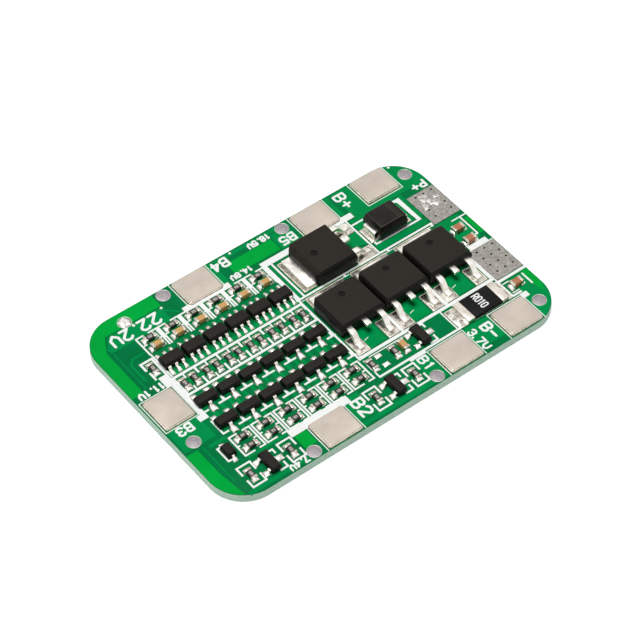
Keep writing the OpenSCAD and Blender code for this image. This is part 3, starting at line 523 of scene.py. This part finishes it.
for column in range(columns):
    x = first_column + column * column_pitch

    # Frame of the supply resistor and its filter capacitor
    left, right = x - 1.42, x + 1.44
    rule([(left, 24.35), (left, 27.25), (x - 0.45, 27.25)])
    rule([(x + 0.45, 27.25), (right, 27.25), (right, 24.35)])
    if column < columns - 1:
        bar(right, 25.4, right + 0.3, 27.36)
    rule([(left, 25.8), (left + 0.55, 25.8)], 0.18)
    rule([(right - 0.35, 25.8), (right, 25.8)], 0.18)

    # Ticks between the divider resistors
    rule([(x + 1.52, 16.6), (x + 1.52, 17.75)], 0.28)
    rule([(x + 1.52, 18.75), (x + 1.52, 19.7)], 0.28)
    rule([(x - 0.16, 18.95), (x - 0.16, 19.7)], 0.2)
    rule([(x - 0.16, 16.6), (x - 0.16, 17.3)], 0.2)

    # Marks between the balance transistors
    for y in (13.4, 9.5):
        reach = 0.75 if column < columns - 1 else 0.3
        rule([(x + 1.42 - 0.75, y), (x + 1.42 + reach, y)], 0.26)
        legend.append([(x + 1.2, y), (x + 1.64, y), (x + 1.56, y + 0.75), (x + 1.28, y + 0.75)])

    # Frame of the two bleed resistors
    left, right = x - 1.62, x + 1.22
    rule([(x - 0.6, 8.55), (left, 8.55), (left, 5.3), (x - 0.35, 5.3)])
    rule([(x + 0.35, 8.55), (right, 8.55), (right, 5.3), (x + 0.5, 5.3)])
    rule([(right - 0.45, 6.87), (right, 6.87)], 0.2)
    rule([(left, 6.87), (left + 0.3, 6.87)], 0.2)

# Lines at the ends of the rows and between them
rule([(5.7, 16.5), (5.7, 19.7)])
rule([(5.75, 20.0), (5.75, 24.2)], 0.2)
for y in (13.35, 9.45):
    rule([(6.1, y), (5.42, y), (5.42, y + 2.3)], 0.24)
bar(5.55, 19.5, 24.75, 19.85)
bar(5.45, 16.42, 24.75, 16.75)
bar(24.62, 8.4, 24.88, 20.2)

# Bars behind and beside the tabs
bar(12.9, 27.1, 19.8, 27.95)
bar(24.55, 27.05, 38.7, 27.95)
bar(11.3, 4.15, 20.0, 5.3)
bar(46.4, 13.85, 49.3, 14.6)
bar(46.4, 3.95, 47.4, 4.75)
bar(29.3, 4.55, 31.7, 5.05)
legend.append([
    (4.35, 12.45), (5.6, 12.45), (5.6, 13.6), (5.55, 20.75), (4.3, 20.75), (4.3, 18.95),
    (4.95, 18.95), (4.95, 13.35), (4.35, 13.35),
])

# Frames of the power transistors, the blocking diode and the shunt
bar(24.55, 20.2, 25.12, 27.2)
rule([(25.75, 20.4), (25.75, 27.1)], 0.26)
rule([(24.6, 20.35), (45.5, 20.35)], 0.28)
rule([(25.0, 19.93), (45.4, 19.93)], 0.1)
for x in (31.65, 38.45, 45.4):
    bar(x - 0.16, 19.85, x + 0.16, 20.3)
    bar(x - 0.2, 8.9, x + 0.2, 12.8)
rule([(37.35, 20.4), (37.35, 27.1)], 0.24)
rule([(36.95, 25.2), (36.95, 26.9), (36.2, 26.9)], 0.16)
rule([(38.0, 22.5), (38.0, 21.78), (44.72, 21.78)], 0.26)
legend.append([
    (44.55, 21.65), (45.05, 21.65), (45.05, 26.25), (43.9, 26.25), (43.9, 26.0), (44.4, 25.7),
])
rule([(37.6, 26.05), (39.2, 26.05)], 0.26)
bar(24.9, 8.42, 45.75, 8.87)
rule([(25.1, 8.5), (25.1, 9.3)])
bar(24.9, 4.87, 47.0, 5.17)
rule([(36.97, 5.0), (36.97, 8.6)], 0.18)
rule([(45.62, 5.0), (45.62, 14.6)], 0.2)
bar(45.7, 7.62, far_rim, 8.03)
rule([(45.7, 13.8), (49.8, 13.8)], 0.14)
for x in (27.4, 34.4, 41.0):
    legend += stroke([(x - 0.35, 10.5), (x + 0.3, 10.65)], 0.09, 6)
rule([(24.95, 8.0), (24.95, 5.0)], 0.2)
rule([(25.9, 8.15), (30.9, 8.15)], 0.14)

# Frames of the lone parts
rule([(3.86, 22.6), (3.86, 23.7), (5.45, 23.7), (5.45, 20.6)], 0.3)
rule([(4.0, 21.9), (4.0, 20.8)], 0.26)
rule([(3.9, 8.05), (3.5, 8.05), (3.5, 5.85), (3.9, 5.85)], 0.24)
for left, right, low, high in ((3.5, 5.35, 1.15, 4.4), (9.25, 11.1, 1.25, 4.4),
                               (21.75, 23.55, 1.05, 4.3), (27.6, 29.4, 1.15, 4.3)):
    rule([(left, high - 1.15), (left, high), (right, high), (right, high - 1.15)], 0.25)
    rule([(left, low + 1.1), (left, low), (right, low), (right, low + 1.1)], 0.25)
for x, y in ((8.45, 2.7), (26.9, 2.7), (34.1, 6.86)):
    rule([(x - 0.4, y + 1.5), (x, y + 1.5), (x, y + 0.95)], 0.24)
    rule([(x, y - 0.75), (x, y - 1.5), (x - 0.95, y - 1.5)], 0.24)
rule([(47.8, 19.05), (far_rim - 0.1, 19.05)], 0.2)
rule([(49.0, 19.0), (49.0, 15.6), (48.6, 15.6)], 0.22)
rule([(48.9, 5.3), (48.9, 7.1)], 0.24)
rule([(45.9, 7.2), (46.7, 7.2)], 0.16)
rule([(46.0, 5.4), (46.9, 5.4)], 0.16)

# Three dots of ink by the rear edge
for x, y in ((11.0, 29.5), (22.8, 31.6), (47.4, 31.1)):
    legend += stroke([(x, y), (x + 0.02, y)], 0.34)

# Frames of the tabs, left open where a tab comes to the front or rear edge of the board
tabs = ["nickel_tab_" + name for name in ("b1", "b2", "b3", "b4", "b5", "plus", "minus")]
tab_pen = 0.11
tab_gap = 0.32
edge_gap = 0.1
for tab in tabs:
    low, high = box_on_board(tab)
    x0, y0 = max(low.x - tab_gap, edge_gap), max(low.y - tab_gap, edge_gap)
    x1, y1 = high.x + tab_gap, min(high.y + tab_gap, board_width - edge_gap)
    if y0 > 2 * edge_gap:
        rule([(x0, y0), (x1, y0)], tab_pen)
    rule([(x1, y0), (x1, y1)], tab_pen)
    if y1 < board_width - 2 * edge_gap:
        rule([(x1, y1), (x0, y1)], tab_pen)
    rule([(x0, y1), (x0, y0)], tab_pen)

# Terminal marks, tap voltages and the voltage of the whole pack, with height, turn and pen
for text, x, y, height, turn, pen in (
    ("B4", 20.75, 30.8, 1.3, 180, 0.33), ("14.8V", 22.0, 28.12, 0.72, 180, 0.24),
    ("18.5V", 26.8, 31.05, 0.75, 180, 0.26), ("B5", 29.95, 29.2, 1.2, 180, 0.30),
    ("B+", 39.3, 30.05, 1.45, -90, 0.30), ("P+", 48.45, 26.35, 1.1, 180, 0.30),
    ("11.1V", 2.55, 19.65, 0.85, 180, 0.28), ("B3", 2.28, 12.65, 1.15, 180, 0.30),
    ("7.4V", 9.7, 0.68, 0.75, 180, 0.24), ("B2", 20.45, 2.75, 1.5, -90, 0.33),
    ("B1", 30.65, 3.4, 1.2, -90, 0.27), ("3.7V", 37.95, 2.3, 1.0, -90, 0.26),
    ("B-", 39.9, 2.6, 1.35, -90, 0.33), ("22.2V", 6.55, 28.55, 1.6, 180, 0.34),
):
    legend += word(text, x, y, height, turn, pen)
white_ink = surface(
    "legend_ink", (246, 252, 249), (255, 255, 253), 0.3, 0.55, 0.7, 0.15, shine=0.2
)
sheet_of("legend_print", legend, ink_top, white_ink)


# ---- Lands and solder
# Tinned copper lands under every joint, each with solder that has wetted the whole land and
# climbs the end of the part. The wider joints are more uneven.


def solids(node):
    """The separate solids of a CAD node, each as (low, high) corners."""
    bm = merged(node)
    left = set(bm.verts)
    found = []
    while left:
        group, edge = [], [left.pop()]
        while edge:
            vert = edge.pop()
            group.append(vert.co / mm)
            for link in vert.link_edges:
                other = link.other_vert(vert)
                if other in left:
                    left.remove(other)
                    edge.append(other)
        low = Vector([min(c[k] for c in group) for k in range(3)])
        high = Vector([max(c[k] for c in group) for k in range(3)])
        shift = Vector((board_low.x / mm, board_low.y / mm, 0))
        found.append((low - shift, high - shift))
    bm.free()
    return sorted(found, key=lambda box: (round(box[0].x, 2), box[0].y))


def grid_object(name, steps, height):
    """A patch over a square of two by two whose height follows a rule of x and y."""
    bm = bmesh.new()
    rows = [[bm.verts.new((x, y, height(x, y))) for x in steps] for y in steps]
    for low_row, high_row in zip(rows, rows[1:]):
        for k in range(len(steps) - 1):
            bm.faces.new((low_row[k], low_row[k + 1], high_row[k + 1], high_row[k])).smooth = True
    mesh = bpy.data.meshes.new(name)
    bm.to_mesh(mesh)
    bm.free()
    return bpy.data.objects.new(name, mesh)


def joint_height(x, y):
    """Solder that rises from the outer edge of a land, at -1, to the part, at 1."""
    rise = min(1, (x + 1) / 1.35)
    fall = max(0, (x - 0.55) / 0.45)
    along = math.sqrt(max(0, 1 - (1 - rise) ** 2.2)) * math.sqrt(max(0, 1 - fall ** 2.5))
    return along * math.sqrt(max(0, 1 - abs(y) ** 3))


def pillow_height(x, y):
    """Solder that lies in a low cushion."""
    return math.sqrt(max(0, 1 - abs(x) ** 3)) * math.sqrt(max(0, 1 - abs(y) ** 3))


unit_steps = (-1, -0.95, -0.75, -0.35, 0.1, 0.5, 0.8, 1)
joint_unit = grid_object("solder_joint_unit", unit_steps, joint_height)
pillow_unit = grid_object("solder_pillow_unit", unit_steps, pillow_height)


def new_maker(name, inputs):
    """A tree that makes geometry, its two ends, and the identifiers of its named inputs."""
    tree = bpy.data.node_groups.new(name, "GeometryNodeTree")
    sockets = {}
    for label, kind in inputs.items():
        socket = tree.interface.new_socket(label, in_out="INPUT", socket_type="NodeSocket" + kind)
        sockets[label] = socket.identifier
    tree.interface.new_socket("Made", in_out="OUTPUT", socket_type="NodeSocketGeometry")
    return tree, tree.nodes.new("NodeGroupInput"), tree.nodes.new("NodeGroupOutput"), sockets


def end_maker(tree, made, entry, leave):
    """The end of each tree: what was made becomes real mesh and takes its finish."""
    real = tree.nodes.new("GeometryNodeRealizeInstances")
    finished = tree.nodes.new("GeometryNodeSetMaterial")
    join(tree, made, real.inputs[0])
    join(tree, real.outputs[0], finished.inputs["Geometry"])
    join(tree, entry.outputs["Finish"], finished.inputs["Material"])
    join(tree, finished.outputs[0], leave.inputs[0])


def solder_from(name, mesh, tree, sockets, values):
    """Runs a tree over a mesh, and keeps what it makes as a plain piece of solder."""
    maker = bpy.data.objects.new(name + "_maker", mesh)
    scene.collection.objects.link(maker)
    modifier = maker.modifiers.new("maker", "NODES")
    modifier.node_group = tree
    for label, value in values.items():
        modifier[sockets[label]] = value
    graph = bpy.context.evaluated_depsgraph_get()
    made = bpy.data.meshes.new_from_object(maker.evaluated_get(graph))
    made.name = name
    bpy.data.objects.remove(maker)
    piece = bpy.data.objects.new(name, made)
    scene.collection.objects.link(piece)
    settle(piece)


# A tree that sets one small shape on many places, each with its own size and turn
copier, entry, leave, copier_sockets = new_maker("copies_of_a_shape", {
    "Places": "Geometry", "Shape": "Object", "Unevenness": "Float", "Seed": "Int",
    "Finish": "Material",
})
shape = copier.nodes.new("GeometryNodeObjectInfo")
size_read = add(copier, "GeometryNodeInputNamedAttribute", data_type="FLOAT_VECTOR")
size_read.inputs["Name"].default_value = "size"
turn_read = add(copier, "GeometryNodeInputNamedAttribute", data_type="FLOAT")
turn_read.inputs["Name"].default_value = "turn"
chance = add(copier, "FunctionNodeRandomValue", data_type="FLOAT")
lowest = add(copier, "ShaderNodeMath", operation="SUBTRACT")
lowest.inputs[0].default_value = 1
highest = add(copier, "ShaderNodeMath", operation="ADD")
highest.inputs[0].default_value = 1
thick = copier.nodes.new("ShaderNodeCombineXYZ")
thick.inputs["X"].default_value = 1
thick.inputs["Y"].default_value = 1
sized = add(copier, "ShaderNodeVectorMath", operation="MULTIPLY")
turned = copier.nodes.new("ShaderNodeCombineXYZ")
spread_out = copier.nodes.new("GeometryNodeInstanceOnPoints")
join(copier, entry.outputs["Shape"], shape.inputs["Object"])
join(copier, entry.outputs["Unevenness"], lowest.inputs[1])
join(copier, entry.outputs["Unevenness"], highest.inputs[1])
join(copier, lowest.outputs[0], chance.inputs[2])
join(copier, highest.outputs[0], chance.inputs[3])
join(copier, entry.outputs["Seed"], chance.inputs["Seed"])
join(copier, chance.outputs[1], thick.inputs["Z"])
join(copier, size_read.outputs["Attribute"], sized.inputs[0])
join(copier, thick.outputs[0], sized.inputs[1])
join(copier, turn_read.outputs["Attribute"], turned.inputs["Z"])
join(copier, entry.outputs["Places"], spread_out.inputs["Points"])
join(copier, shape.outputs["Geometry"], spread_out.inputs["Instance"])
join(copier, turned.outputs[0], spread_out.inputs["Rotation"])
join(copier, sized.outputs[0], spread_out.inputs["Scale"])
end_maker(copier, spread_out.outputs[0], entry, leave)


def copies(name, unit, places, unevenness, seed, finish):
    """Copies of a unit shape in solder, at places of (centre, size, turn)."""
    points = bpy.data.meshes.new(name + "_places")
    shift = Vector((board_low.x, board_low.y, 0))
    points.from_pydata([shift + Vector(centre) * mm for centre, _, _ in places], [], [])
    points.attributes.new("size", "FLOAT_VECTOR", "POINT")
    points.attributes.new("turn", "FLOAT", "POINT")
    for k, (_, size, angle) in enumerate(places):
        points.attributes["size"].data[k].vector = Vector(size) * mm
        points.attributes["turn"].data[k].value = angle
    values = {"Shape": unit, "Unevenness": unevenness, "Seed": seed, "Finish": finish}
    solder_from(name, points, copier, copier_sockets, values)


tinned = surface(
    "tinned_copper", (128, 122, 116), (186, 180, 172), 0.35, 0.24, 0.36, 0.12, metallic=1.0
)
molten = surface(
    "solder", (198, 192, 184), (255, 253, 248), 0.30, 0.26, 0.38, 0.08, metallic=1.0
)
dress(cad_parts["solder_lands"], tinned)
dress(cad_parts["tab_lands"], tinned)

# Which part each land belongs to, and how high the solder climbs it
climbs = {
    "filter_capacitors": 0.42, "output_capacitors": 0.42, "supply_resistors": 0.3,
    "divider_resistors": 0.3, "bleed_resistors": 0.3, "bias_resistors": 0.3,
    "upper_transistors": 0.34, "lower_transistors": 0.34, "driver_transistors": 0.3,
    "signal_diode": 0.25, "blocking_diode": 0.16, "current_shunt": 0.22,
}
climbs.update({"cell_monitor_%d" % (k + 1): 0.34 for k in range(columns)})
fets = 4
climbs.update({"power_fet_%d" % (k + 1): 0.16 for k in range(fets)})
bodies = [
    ((low + high) / 2, (high - low) / 2, climb)
    for node, climb in climbs.items() for low, high in solids(node)
]

# The joint on each land, which rises towards the nearest body. A land with no body close by is
# only tinned, and the widest ones lie under a slug or a block.
joints = []
close_by = 0.8
widest_joint = 4.0
wetting = 0.12
overlap = 0.01
for low, high in solids("solder_lands"):
    centre, half = (low + high) / 2, (high - low) / 2
    gap = [
        math.hypot(max(0, abs(centre.x - c.x) - h.x), max(0, abs(centre.y - c.y) - h.y))
        for c, h, _ in bodies
    ]
    body, body_half, climb = bodies[gap.index(min(gap))]
    away = ((centre.x - body.x) / body_half.x, (centre.y - body.y) / body_half.y)
    if min(gap) > close_by:
        joints.append(((centre.x, centre.y, high.z - overlap), (half.x, half.y, wetting), 0))
        continue
    if max(half.x, half.y) * 2 > widest_joint:
        continue
    if abs(away[0]) > abs(away[1]):
        angle, reach, across = (math.pi if away[0] > 0 else 0), half.x, half.y
    else:
        angle, reach, across = (-math.pi / 2 if away[1] > 0 else math.pi / 2), half.y, half.x
    joints.append(((centre.x, centre.y, high.z - overlap), (reach, across, climb), angle))
reflowed = surface(
    "reflowed_solder", (132, 126, 118), (236, 232, 224), 0.55, 0.24, 0.36, 0.12, metallic=1.0
)
wide_from = 0.6
small_joints = [joint for joint in joints if min(joint[1][:2]) < wide_from]
wide_joints = [joint for joint in joints if min(joint[1][:2]) >= wide_from]
copies("solder_joints", joint_unit, small_joints, unevenness=0.15, seed=4, finish=molten)
copies("wide_joints", joint_unit, wide_joints, unevenness=0.15, seed=5, finish=reflowed)


# ---- Round sense pads
# Bare copper discs levelled with solder, one beside each tab, for the tap wires. All but the
# one in the rear left corner are flat and dull.

pad_tin = surface(
    "levelled_solder", (142, 135, 138), (168, 161, 163), 0.35, 0.5, 0.62, 0.1, metallic=0.5
)
dress(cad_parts["sense_wire_pads"], pad_tin)
ring_tin = surface(
    "pad_ring", (168, 164, 164), (214, 210, 208), 0.4, 0.4, 0.5, 0.1, metallic=1.0
)

# One ring of unit radius and height, for the raised rim of each pad
ring_steps, ring_sides, ring_half = 32, 6, 0.05
bm = bmesh.new()
loops = []
for k in range(ring_steps):
    a = 2 * math.pi * k / ring_steps
    loop = []
    for s in range(ring_sides):
        b = 2 * math.pi * s / ring_sides
        radius = 1 - ring_half + ring_half * math.cos(b)
        loop.append(bm.verts.new((radius * math.cos(a), radius * math.sin(a), math.sin(b))))
    loops.append(loop)
for here, there in zip(loops, loops[1:] + loops[:1]):
    for s in range(ring_sides):
        t = (s + 1) % ring_sides
        bm.faces.new((here[s], there[s], there[t], here[t])).smooth = True
ring_mesh = bpy.data.meshes.new("pad_ring_unit")
bm.to_mesh(ring_mesh)
bm.free()
ring_unit = bpy.data.objects.new("pad_ring_unit", ring_mesh)
ring_base, ring_rise = board_top + 0.03, 0.06

# The lumps on the corner pad: (x, y) off its middle, (width, depth, rise) and turn
dab_shapes = (
    ((-0.1, 0.15), (0.6, 0.5, 0.1), 0.4), ((0.25, -0.3), (0.4, 0.3, 0.12), 1.2),
    ((-0.35, -0.3), (0.3, 0.35, 0.09), 2.0),
)
dab_sunk = 0.03
rings, dabs = [], []
for low, high in solids("sense_wire_pads"):
    centre, half = (low + high) / 2, (high - low) / 2
    rings.append(((centre.x, centre.y, ring_base), (half.x, half.y, ring_rise), 0))
    in_rear_left_corner = centre.x < 10 and centre.y > 25
    if in_rear_left_corner:
        for (dx, dy), size, angle in dab_shapes:
            dabs.append(((centre.x + dx, centre.y + dy, high.z - dab_sunk), size, angle))
copies("pad_rings", ring_unit, rings, unevenness=0.1, seed=2, finish=ring_tin)
copies("corner_pad_dabs", pillow_unit, dabs, unevenness=0.1, seed=3, finish=molten)


# ---- Output pads
# Two wide tinned pads for the load wires, stitched through the board with plated vias. The
# positive one was tinned by hand and is lumpy, and the negative one is flat.

output_tin = surface(
    "output_tin", (118, 114, 109), (170, 166, 160), 0.2, 0.45, 0.6, 0.12, metallic=0.8
)
dress(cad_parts["output_pad_minus"], output_tin)
dress(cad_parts["output_pad_plus"], output_tin)
lump_tin = surface(
    "lump_tin", (150, 146, 142), (216, 211, 206), 0.3, 0.34, 0.46, 0.12, metallic=0.95
)

# Lumps in the rear half of the positive pad
pad_low, pad_high = box_on_board("output_pad_plus")
lump_count = 8
chooser = random.Random(3)
lumps = []
for _ in range(lump_count):
    wide, deep = chooser.uniform(0.3, 0.75), chooser.uniform(0.25, 0.5)
    x = chooser.uniform(pad_low.x + wide, pad_high.x - wide)
    y = pad_low.y + (pad_high.y - pad_low.y) * chooser.uniform(0.5, 0.88)
    rise, angle = chooser.uniform(0.03, 0.08), chooser.uniform(0, math.pi)
    lumps.append(((x, y, pad_high.z - overlap), (wide, deep, rise), angle))
copies("positive_pad_lumps", pillow_unit, lumps, unevenness=0.2, seed=9, finish=lump_tin)


# ---- Nickel tabs
# Seven rectangles sheared from nickel strip and reflowed flat onto their lands, with a bead of
# solder all round, for the strips that come from the cells.

nickel = surface(
    "nickel_strip", (201, 189, 177), (212, 201, 188), 2.5, 0.20, 0.26, 0.03, metallic=1.0
)
for tab in tabs:
    softened(tab, "nickel", 0.05, nickel, segments=3)

# A tree that runs a bead of solder along outlines, with a radius at each of their corners
beader, entry, leave, beader_sockets = new_maker("bead_along_outlines", {
    "Outlines": "Geometry", "Corner": "Float", "Bead": "Float", "Finish": "Material",
})
to_curve = beader.nodes.new("GeometryNodeMeshToCurve")
rounded = add(beader, "GeometryNodeFilletCurve", mode="POLY", Count=4)
section = add(beader, "GeometryNodeCurvePrimitiveCircle", Resolution=8)
swept = beader.nodes.new("GeometryNodeCurveToMesh")
smoothed = beader.nodes.new("GeometryNodeSetShadeSmooth")
join(beader, entry.outputs["Outlines"], to_curve.inputs["Mesh"])
join(beader, to_curve.outputs[0], rounded.inputs["Curve"])
join(beader, entry.outputs["Corner"], rounded.inputs["Radius"])
join(beader, entry.outputs["Bead"], section.inputs["Radius"])
join(beader, rounded.outputs[0], swept.inputs["Curve"])
join(beader, section.outputs[0], swept.inputs["Profile Curve"])
join(beader, swept.outputs[0], smoothed.inputs["Geometry"])
end_maker(beader, smoothed.outputs[0], entry, leave)


def beads(name, boxes, height, corner, bead):
    """Beads of a radius round upright boxes (low, high), at one height."""
    outlines = bpy.data.meshes.new(name + "_outlines")
    points, edges = [], []
    for low, high in boxes:
        first = len(points)
        points += [(x, y, height) for x, y in box_shape(low.x, low.y, high.x, high.y)]
        edges += [(first + k, first + (k + 1) % 4) for k in range(4)]
    shift = Vector((board_low.x, board_low.y, 0))
    outlines.from_pydata([shift + Vector(p) * mm for p in points], edges, [])
    values = {"Corner": corner * mm, "Bead": bead * mm, "Finish": bead_tin}
    solder_from(name, outlines, beader, beader_sockets, values)


bead_tin = surface(
    "solder_bead", (200, 190, 176), (244, 236, 224), 0.5, 0.4, 0.5, 0.05, metallic=1.0
)
tab_boxes = [box for tab in tabs for box in solids(tab)]
beads("tab_beads", tab_boxes, height=board_top + 0.12, corner=0.3, bead=0.07)

# The same bead just inside the edges of the wide lands
wide_land = 1.6
inset = Vector((0.09, 0.09, 0))
wide_lands = [
    (low + inset, high - inset) for low, high in solids("solder_lands")
    if max(high.x - low.x, high.y - low.y) > wide_land
]
beads("land_beads", wide_lands, height=board_top + 0.09, corner=0.15, bead=0.07)


# ---- Cell monitors
# Six small moulded ICs, one for each cell, side by side. Each stands on six tinned gull-wing
# leads that are soldered to lands of their own.

moulding = surface(
    "moulding_compound", (28, 25, 21), (38, 34, 30), 0.06, 0.5, 0.62, 0.35, shine=0.12
)
lead_tin = surface(
    "tinned_lead", (222, 217, 208), (250, 246, 238), 0.6, 0.26, 0.38, 0.03, metallic=1.0
)
# Painted shade: the upright and drafted sides of the moulded bodies get a far darker colour than
# their tops, standing in for the shade that falls on them
painted_shade_sides = surface(
    "moulded_side_painted_shade", (10, 9, 8), (15, 14, 12), 0.08, 0.40, 0.5, 0.15, shine=0.16
)
top_slope = 0.6


def moulded(node, radius, top, *others, segments=2):
    """A moulded body whose drafted and upright sides take a much darker colour than its top, as
    painted shade.
    """
    finishes = (top, painted_shade_sides) + others
    body = softened(node, "moulding_compound", radius, *finishes, segments=segments)
    # Faces that slope away from the top take the painted shade colour
    for face in body.data.polygons:
        if face.normal.z < top_slope:
            face.material_index = 1
    return body


for k in range(columns):
    moulded("cell_monitor_%d" % (k + 1), 0.05, moulding)
    dress(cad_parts["cell_monitor_leads_%d" % (k + 1)], lead_tin)


# ---- Transistors
# Three-leaded moulded transistors: two rows that switch the bleed resistors, and three drivers
# along the front edge.

for row in ("upper", "lower", "driver"):
    moulded(row + "_transistors", 0.05, moulding)
    dress(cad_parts[row + "_transistor_leads"], lead_tin)


# ---- Chip resistors
# Alumina chips with a dark glazed top, a printed three-figure code and wrap-round tinned ends,
# each soldered flat between two lands.

glaze = surface(
    "resistor_glaze", (30, 28, 27), (44, 40, 38), 0.2, 0.25, 0.4, 0.1, shine=0.4
)
end_tin = surface(
    "plated_end", (160, 152, 140), (226, 218, 206), 0.22, 0.22, 0.36, 0.1, metallic=1.0
)
code_ink = surface(
    "code_ink", (196, 190, 180), (214, 208, 198), 0.2, 0.5, 0.6, 0.1, shine=0.3
)
code_height, code_pen, code_squeeze = 0.32, 0.08, 0.7
codes = []
for row, code in (("supply", "102"), ("divider", "204"), ("bleed", "101"), ("bias", "103")):
    softened(row + "_resistors", "resistor_glaze", 0.03, glaze)
    softened(row + "_resistor_ends", "plated_end", 0.05, end_tin)
    for low, high in solids(row + "_resistors"):
        x, y = (low.x + high.x) / 2, (low.y + high.y) / 2
        facing = 0 if high.x - low.x > high.y - low.y else -90
        codes += word(code, x, y, code_height, facing, code_pen, code_squeeze)
chip_top = box_on_board("supply_resistors")[1].z
sheet_of("resistor_codes", codes, chip_top - board_top + 0.012, code_ink,
         base=chip_top - 0.003)


# ---- Chip capacitors
# Fired ceramic blocks with wrap-round tinned ends: tan ones filter the supply of each monitor,
# and brown ones bridge the outputs. One tan one stands among the drivers.

tan_ceramic = surface(
    "tan_ceramic", (200, 152, 92), (222, 176, 112), 0.4, 0.35, 0.5, 0.15, shine=0.4
)
brown_ceramic = surface(
    "brown_ceramic", (172, 108, 76), (196, 128, 92), 0.4, 0.35, 0.5, 0.15, shine=0.4
)
softened("filter_capacitors", "tan_ceramic", 0.06, tan_ceramic)
softened("filter_capacitor_ends", "plated_end", 0.07, end_tin)
softened("output_capacitors", "brown_ceramic", 0.06, brown_ceramic)
softened("output_capacitor_ends", "plated_end", 0.07, end_tin)


# ---- Power transistors
# Four large moulded switches. Each sits on its soldered copper tab, with two formed leads to
# the board, a middle lead cut short, and the round mark of an ejector pin on top.

fet_moulding = surface(
    "fet_moulding", (31, 27, 22), (41, 36, 31), 0.09, 0.5, 0.62, 0.4, shine=0.12
)
mark_moulding = surface(
    "ejector_mark", (17, 15, 13), (23, 20, 18), 0.06, 0.6, 0.7, 0.3, shine=0.1
)
mark_floor = 0.95
mark_shallowest, mark_deepest = 0.07, 0.15
for k in range(fets):
    name = "power_fet_%d" % (k + 1)
    body = moulded(name, 0.07, fet_moulding, mark_moulding, segments=3)
    body_top = box_on_board(name)[1].z
    for face in body.data.polygons:
        depth = body_top - face.center.z / mm
        if face.normal.z > mark_floor and mark_shallowest < depth < mark_deepest:
            face.material_index = 2
    softened("power_fet_frame_%d" % (k + 1), "tinned_lead", 0.05, lead_tin)


# ---- Diodes
# The blocking diode is a moulded block on two ribbon leads bent under it, and the small signal
# diode stands at the left front.

diode_moulding = surface(
    "diode_moulding", (19, 16, 11), (25, 22, 17), 0.8, 0.30, 0.36, 0.01, shine=0.18
)
softened("blocking_diode", "moulding_compound", 0.08, diode_moulding, segments=3)
softened("blocking_diode_terminals", "tinned_lead", 0.05, lead_tin)
moulded("signal_diode", 0.06, moulding)
dress(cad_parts["signal_diode_leads"], lead_tin)

# A painted highlight, a light line along the left and front edges of the blocking diode's top, and
# three lasered cathode lines at its other end
laser_print_and_painted_highlight = surface(
    "laser_print_and_painted_highlight", (70, 62, 50), (92, 84, 70), 0.15, 0.5, 0.6, 0.1, shine=0.3
)
low, high = box_on_board("blocking_diode")
end_inset, side_inset = 0.32, 0.36
highlight_pen, line_pen = 0.05, 0.035
x0, y0 = low.x + end_inset, low.y + side_inset
x1, y1 = high.x - end_inset, high.y - side_inset
# Painted highlight: a light line inset along the top's left and front edges, where the edges would
# catch the light
marks = stroke([(x0, y1), (x0, y0), (x1, y0)], highlight_pen, ends=4)
for step in (0.45, 0.7, 0.95):
    marks += stroke([(x1 - step, y0 + 0.1), (x1 - step, y1 - 0.1)], line_pen, ends=4)
diode_top = high.z
sheet_of("diode_marks", marks, diode_top - board_top + 0.006, laser_print_and_painted_highlight,
         base=diode_top - 0.003)


# ---- Current shunt
# A wide low-value resistor with a black coated middle, a white value code and long plated
# ends, soldered flat across two broad lands.

shunt_black = surface(
    "shunt_coating", (9, 8, 7), (14, 12, 11), 0.15, 0.4, 0.55, 0.2, shine=0.12
)
softened("current_shunt", "resistor_glaze", 0.04, shunt_black)
shunt_tin = surface(
    "shunt_end", (206, 199, 187), (236, 230, 220), 1.2, 0.26, 0.36, 0.03, metallic=1.0
)
softened("current_shunt_ends", "plated_end", 0.06, shunt_tin)
low, high = box_on_board("current_shunt")
middle = (low + high) / 2
shunt_code = word(
    "R010", middle.x, middle.y + 0.1, height=1.0, turn=-90, pen=0.17, squeeze=0.6
)
sheet_of("shunt_code", shunt_code, high.z - board_top + 0.02, white_ink,
         base=high.z - 0.004)
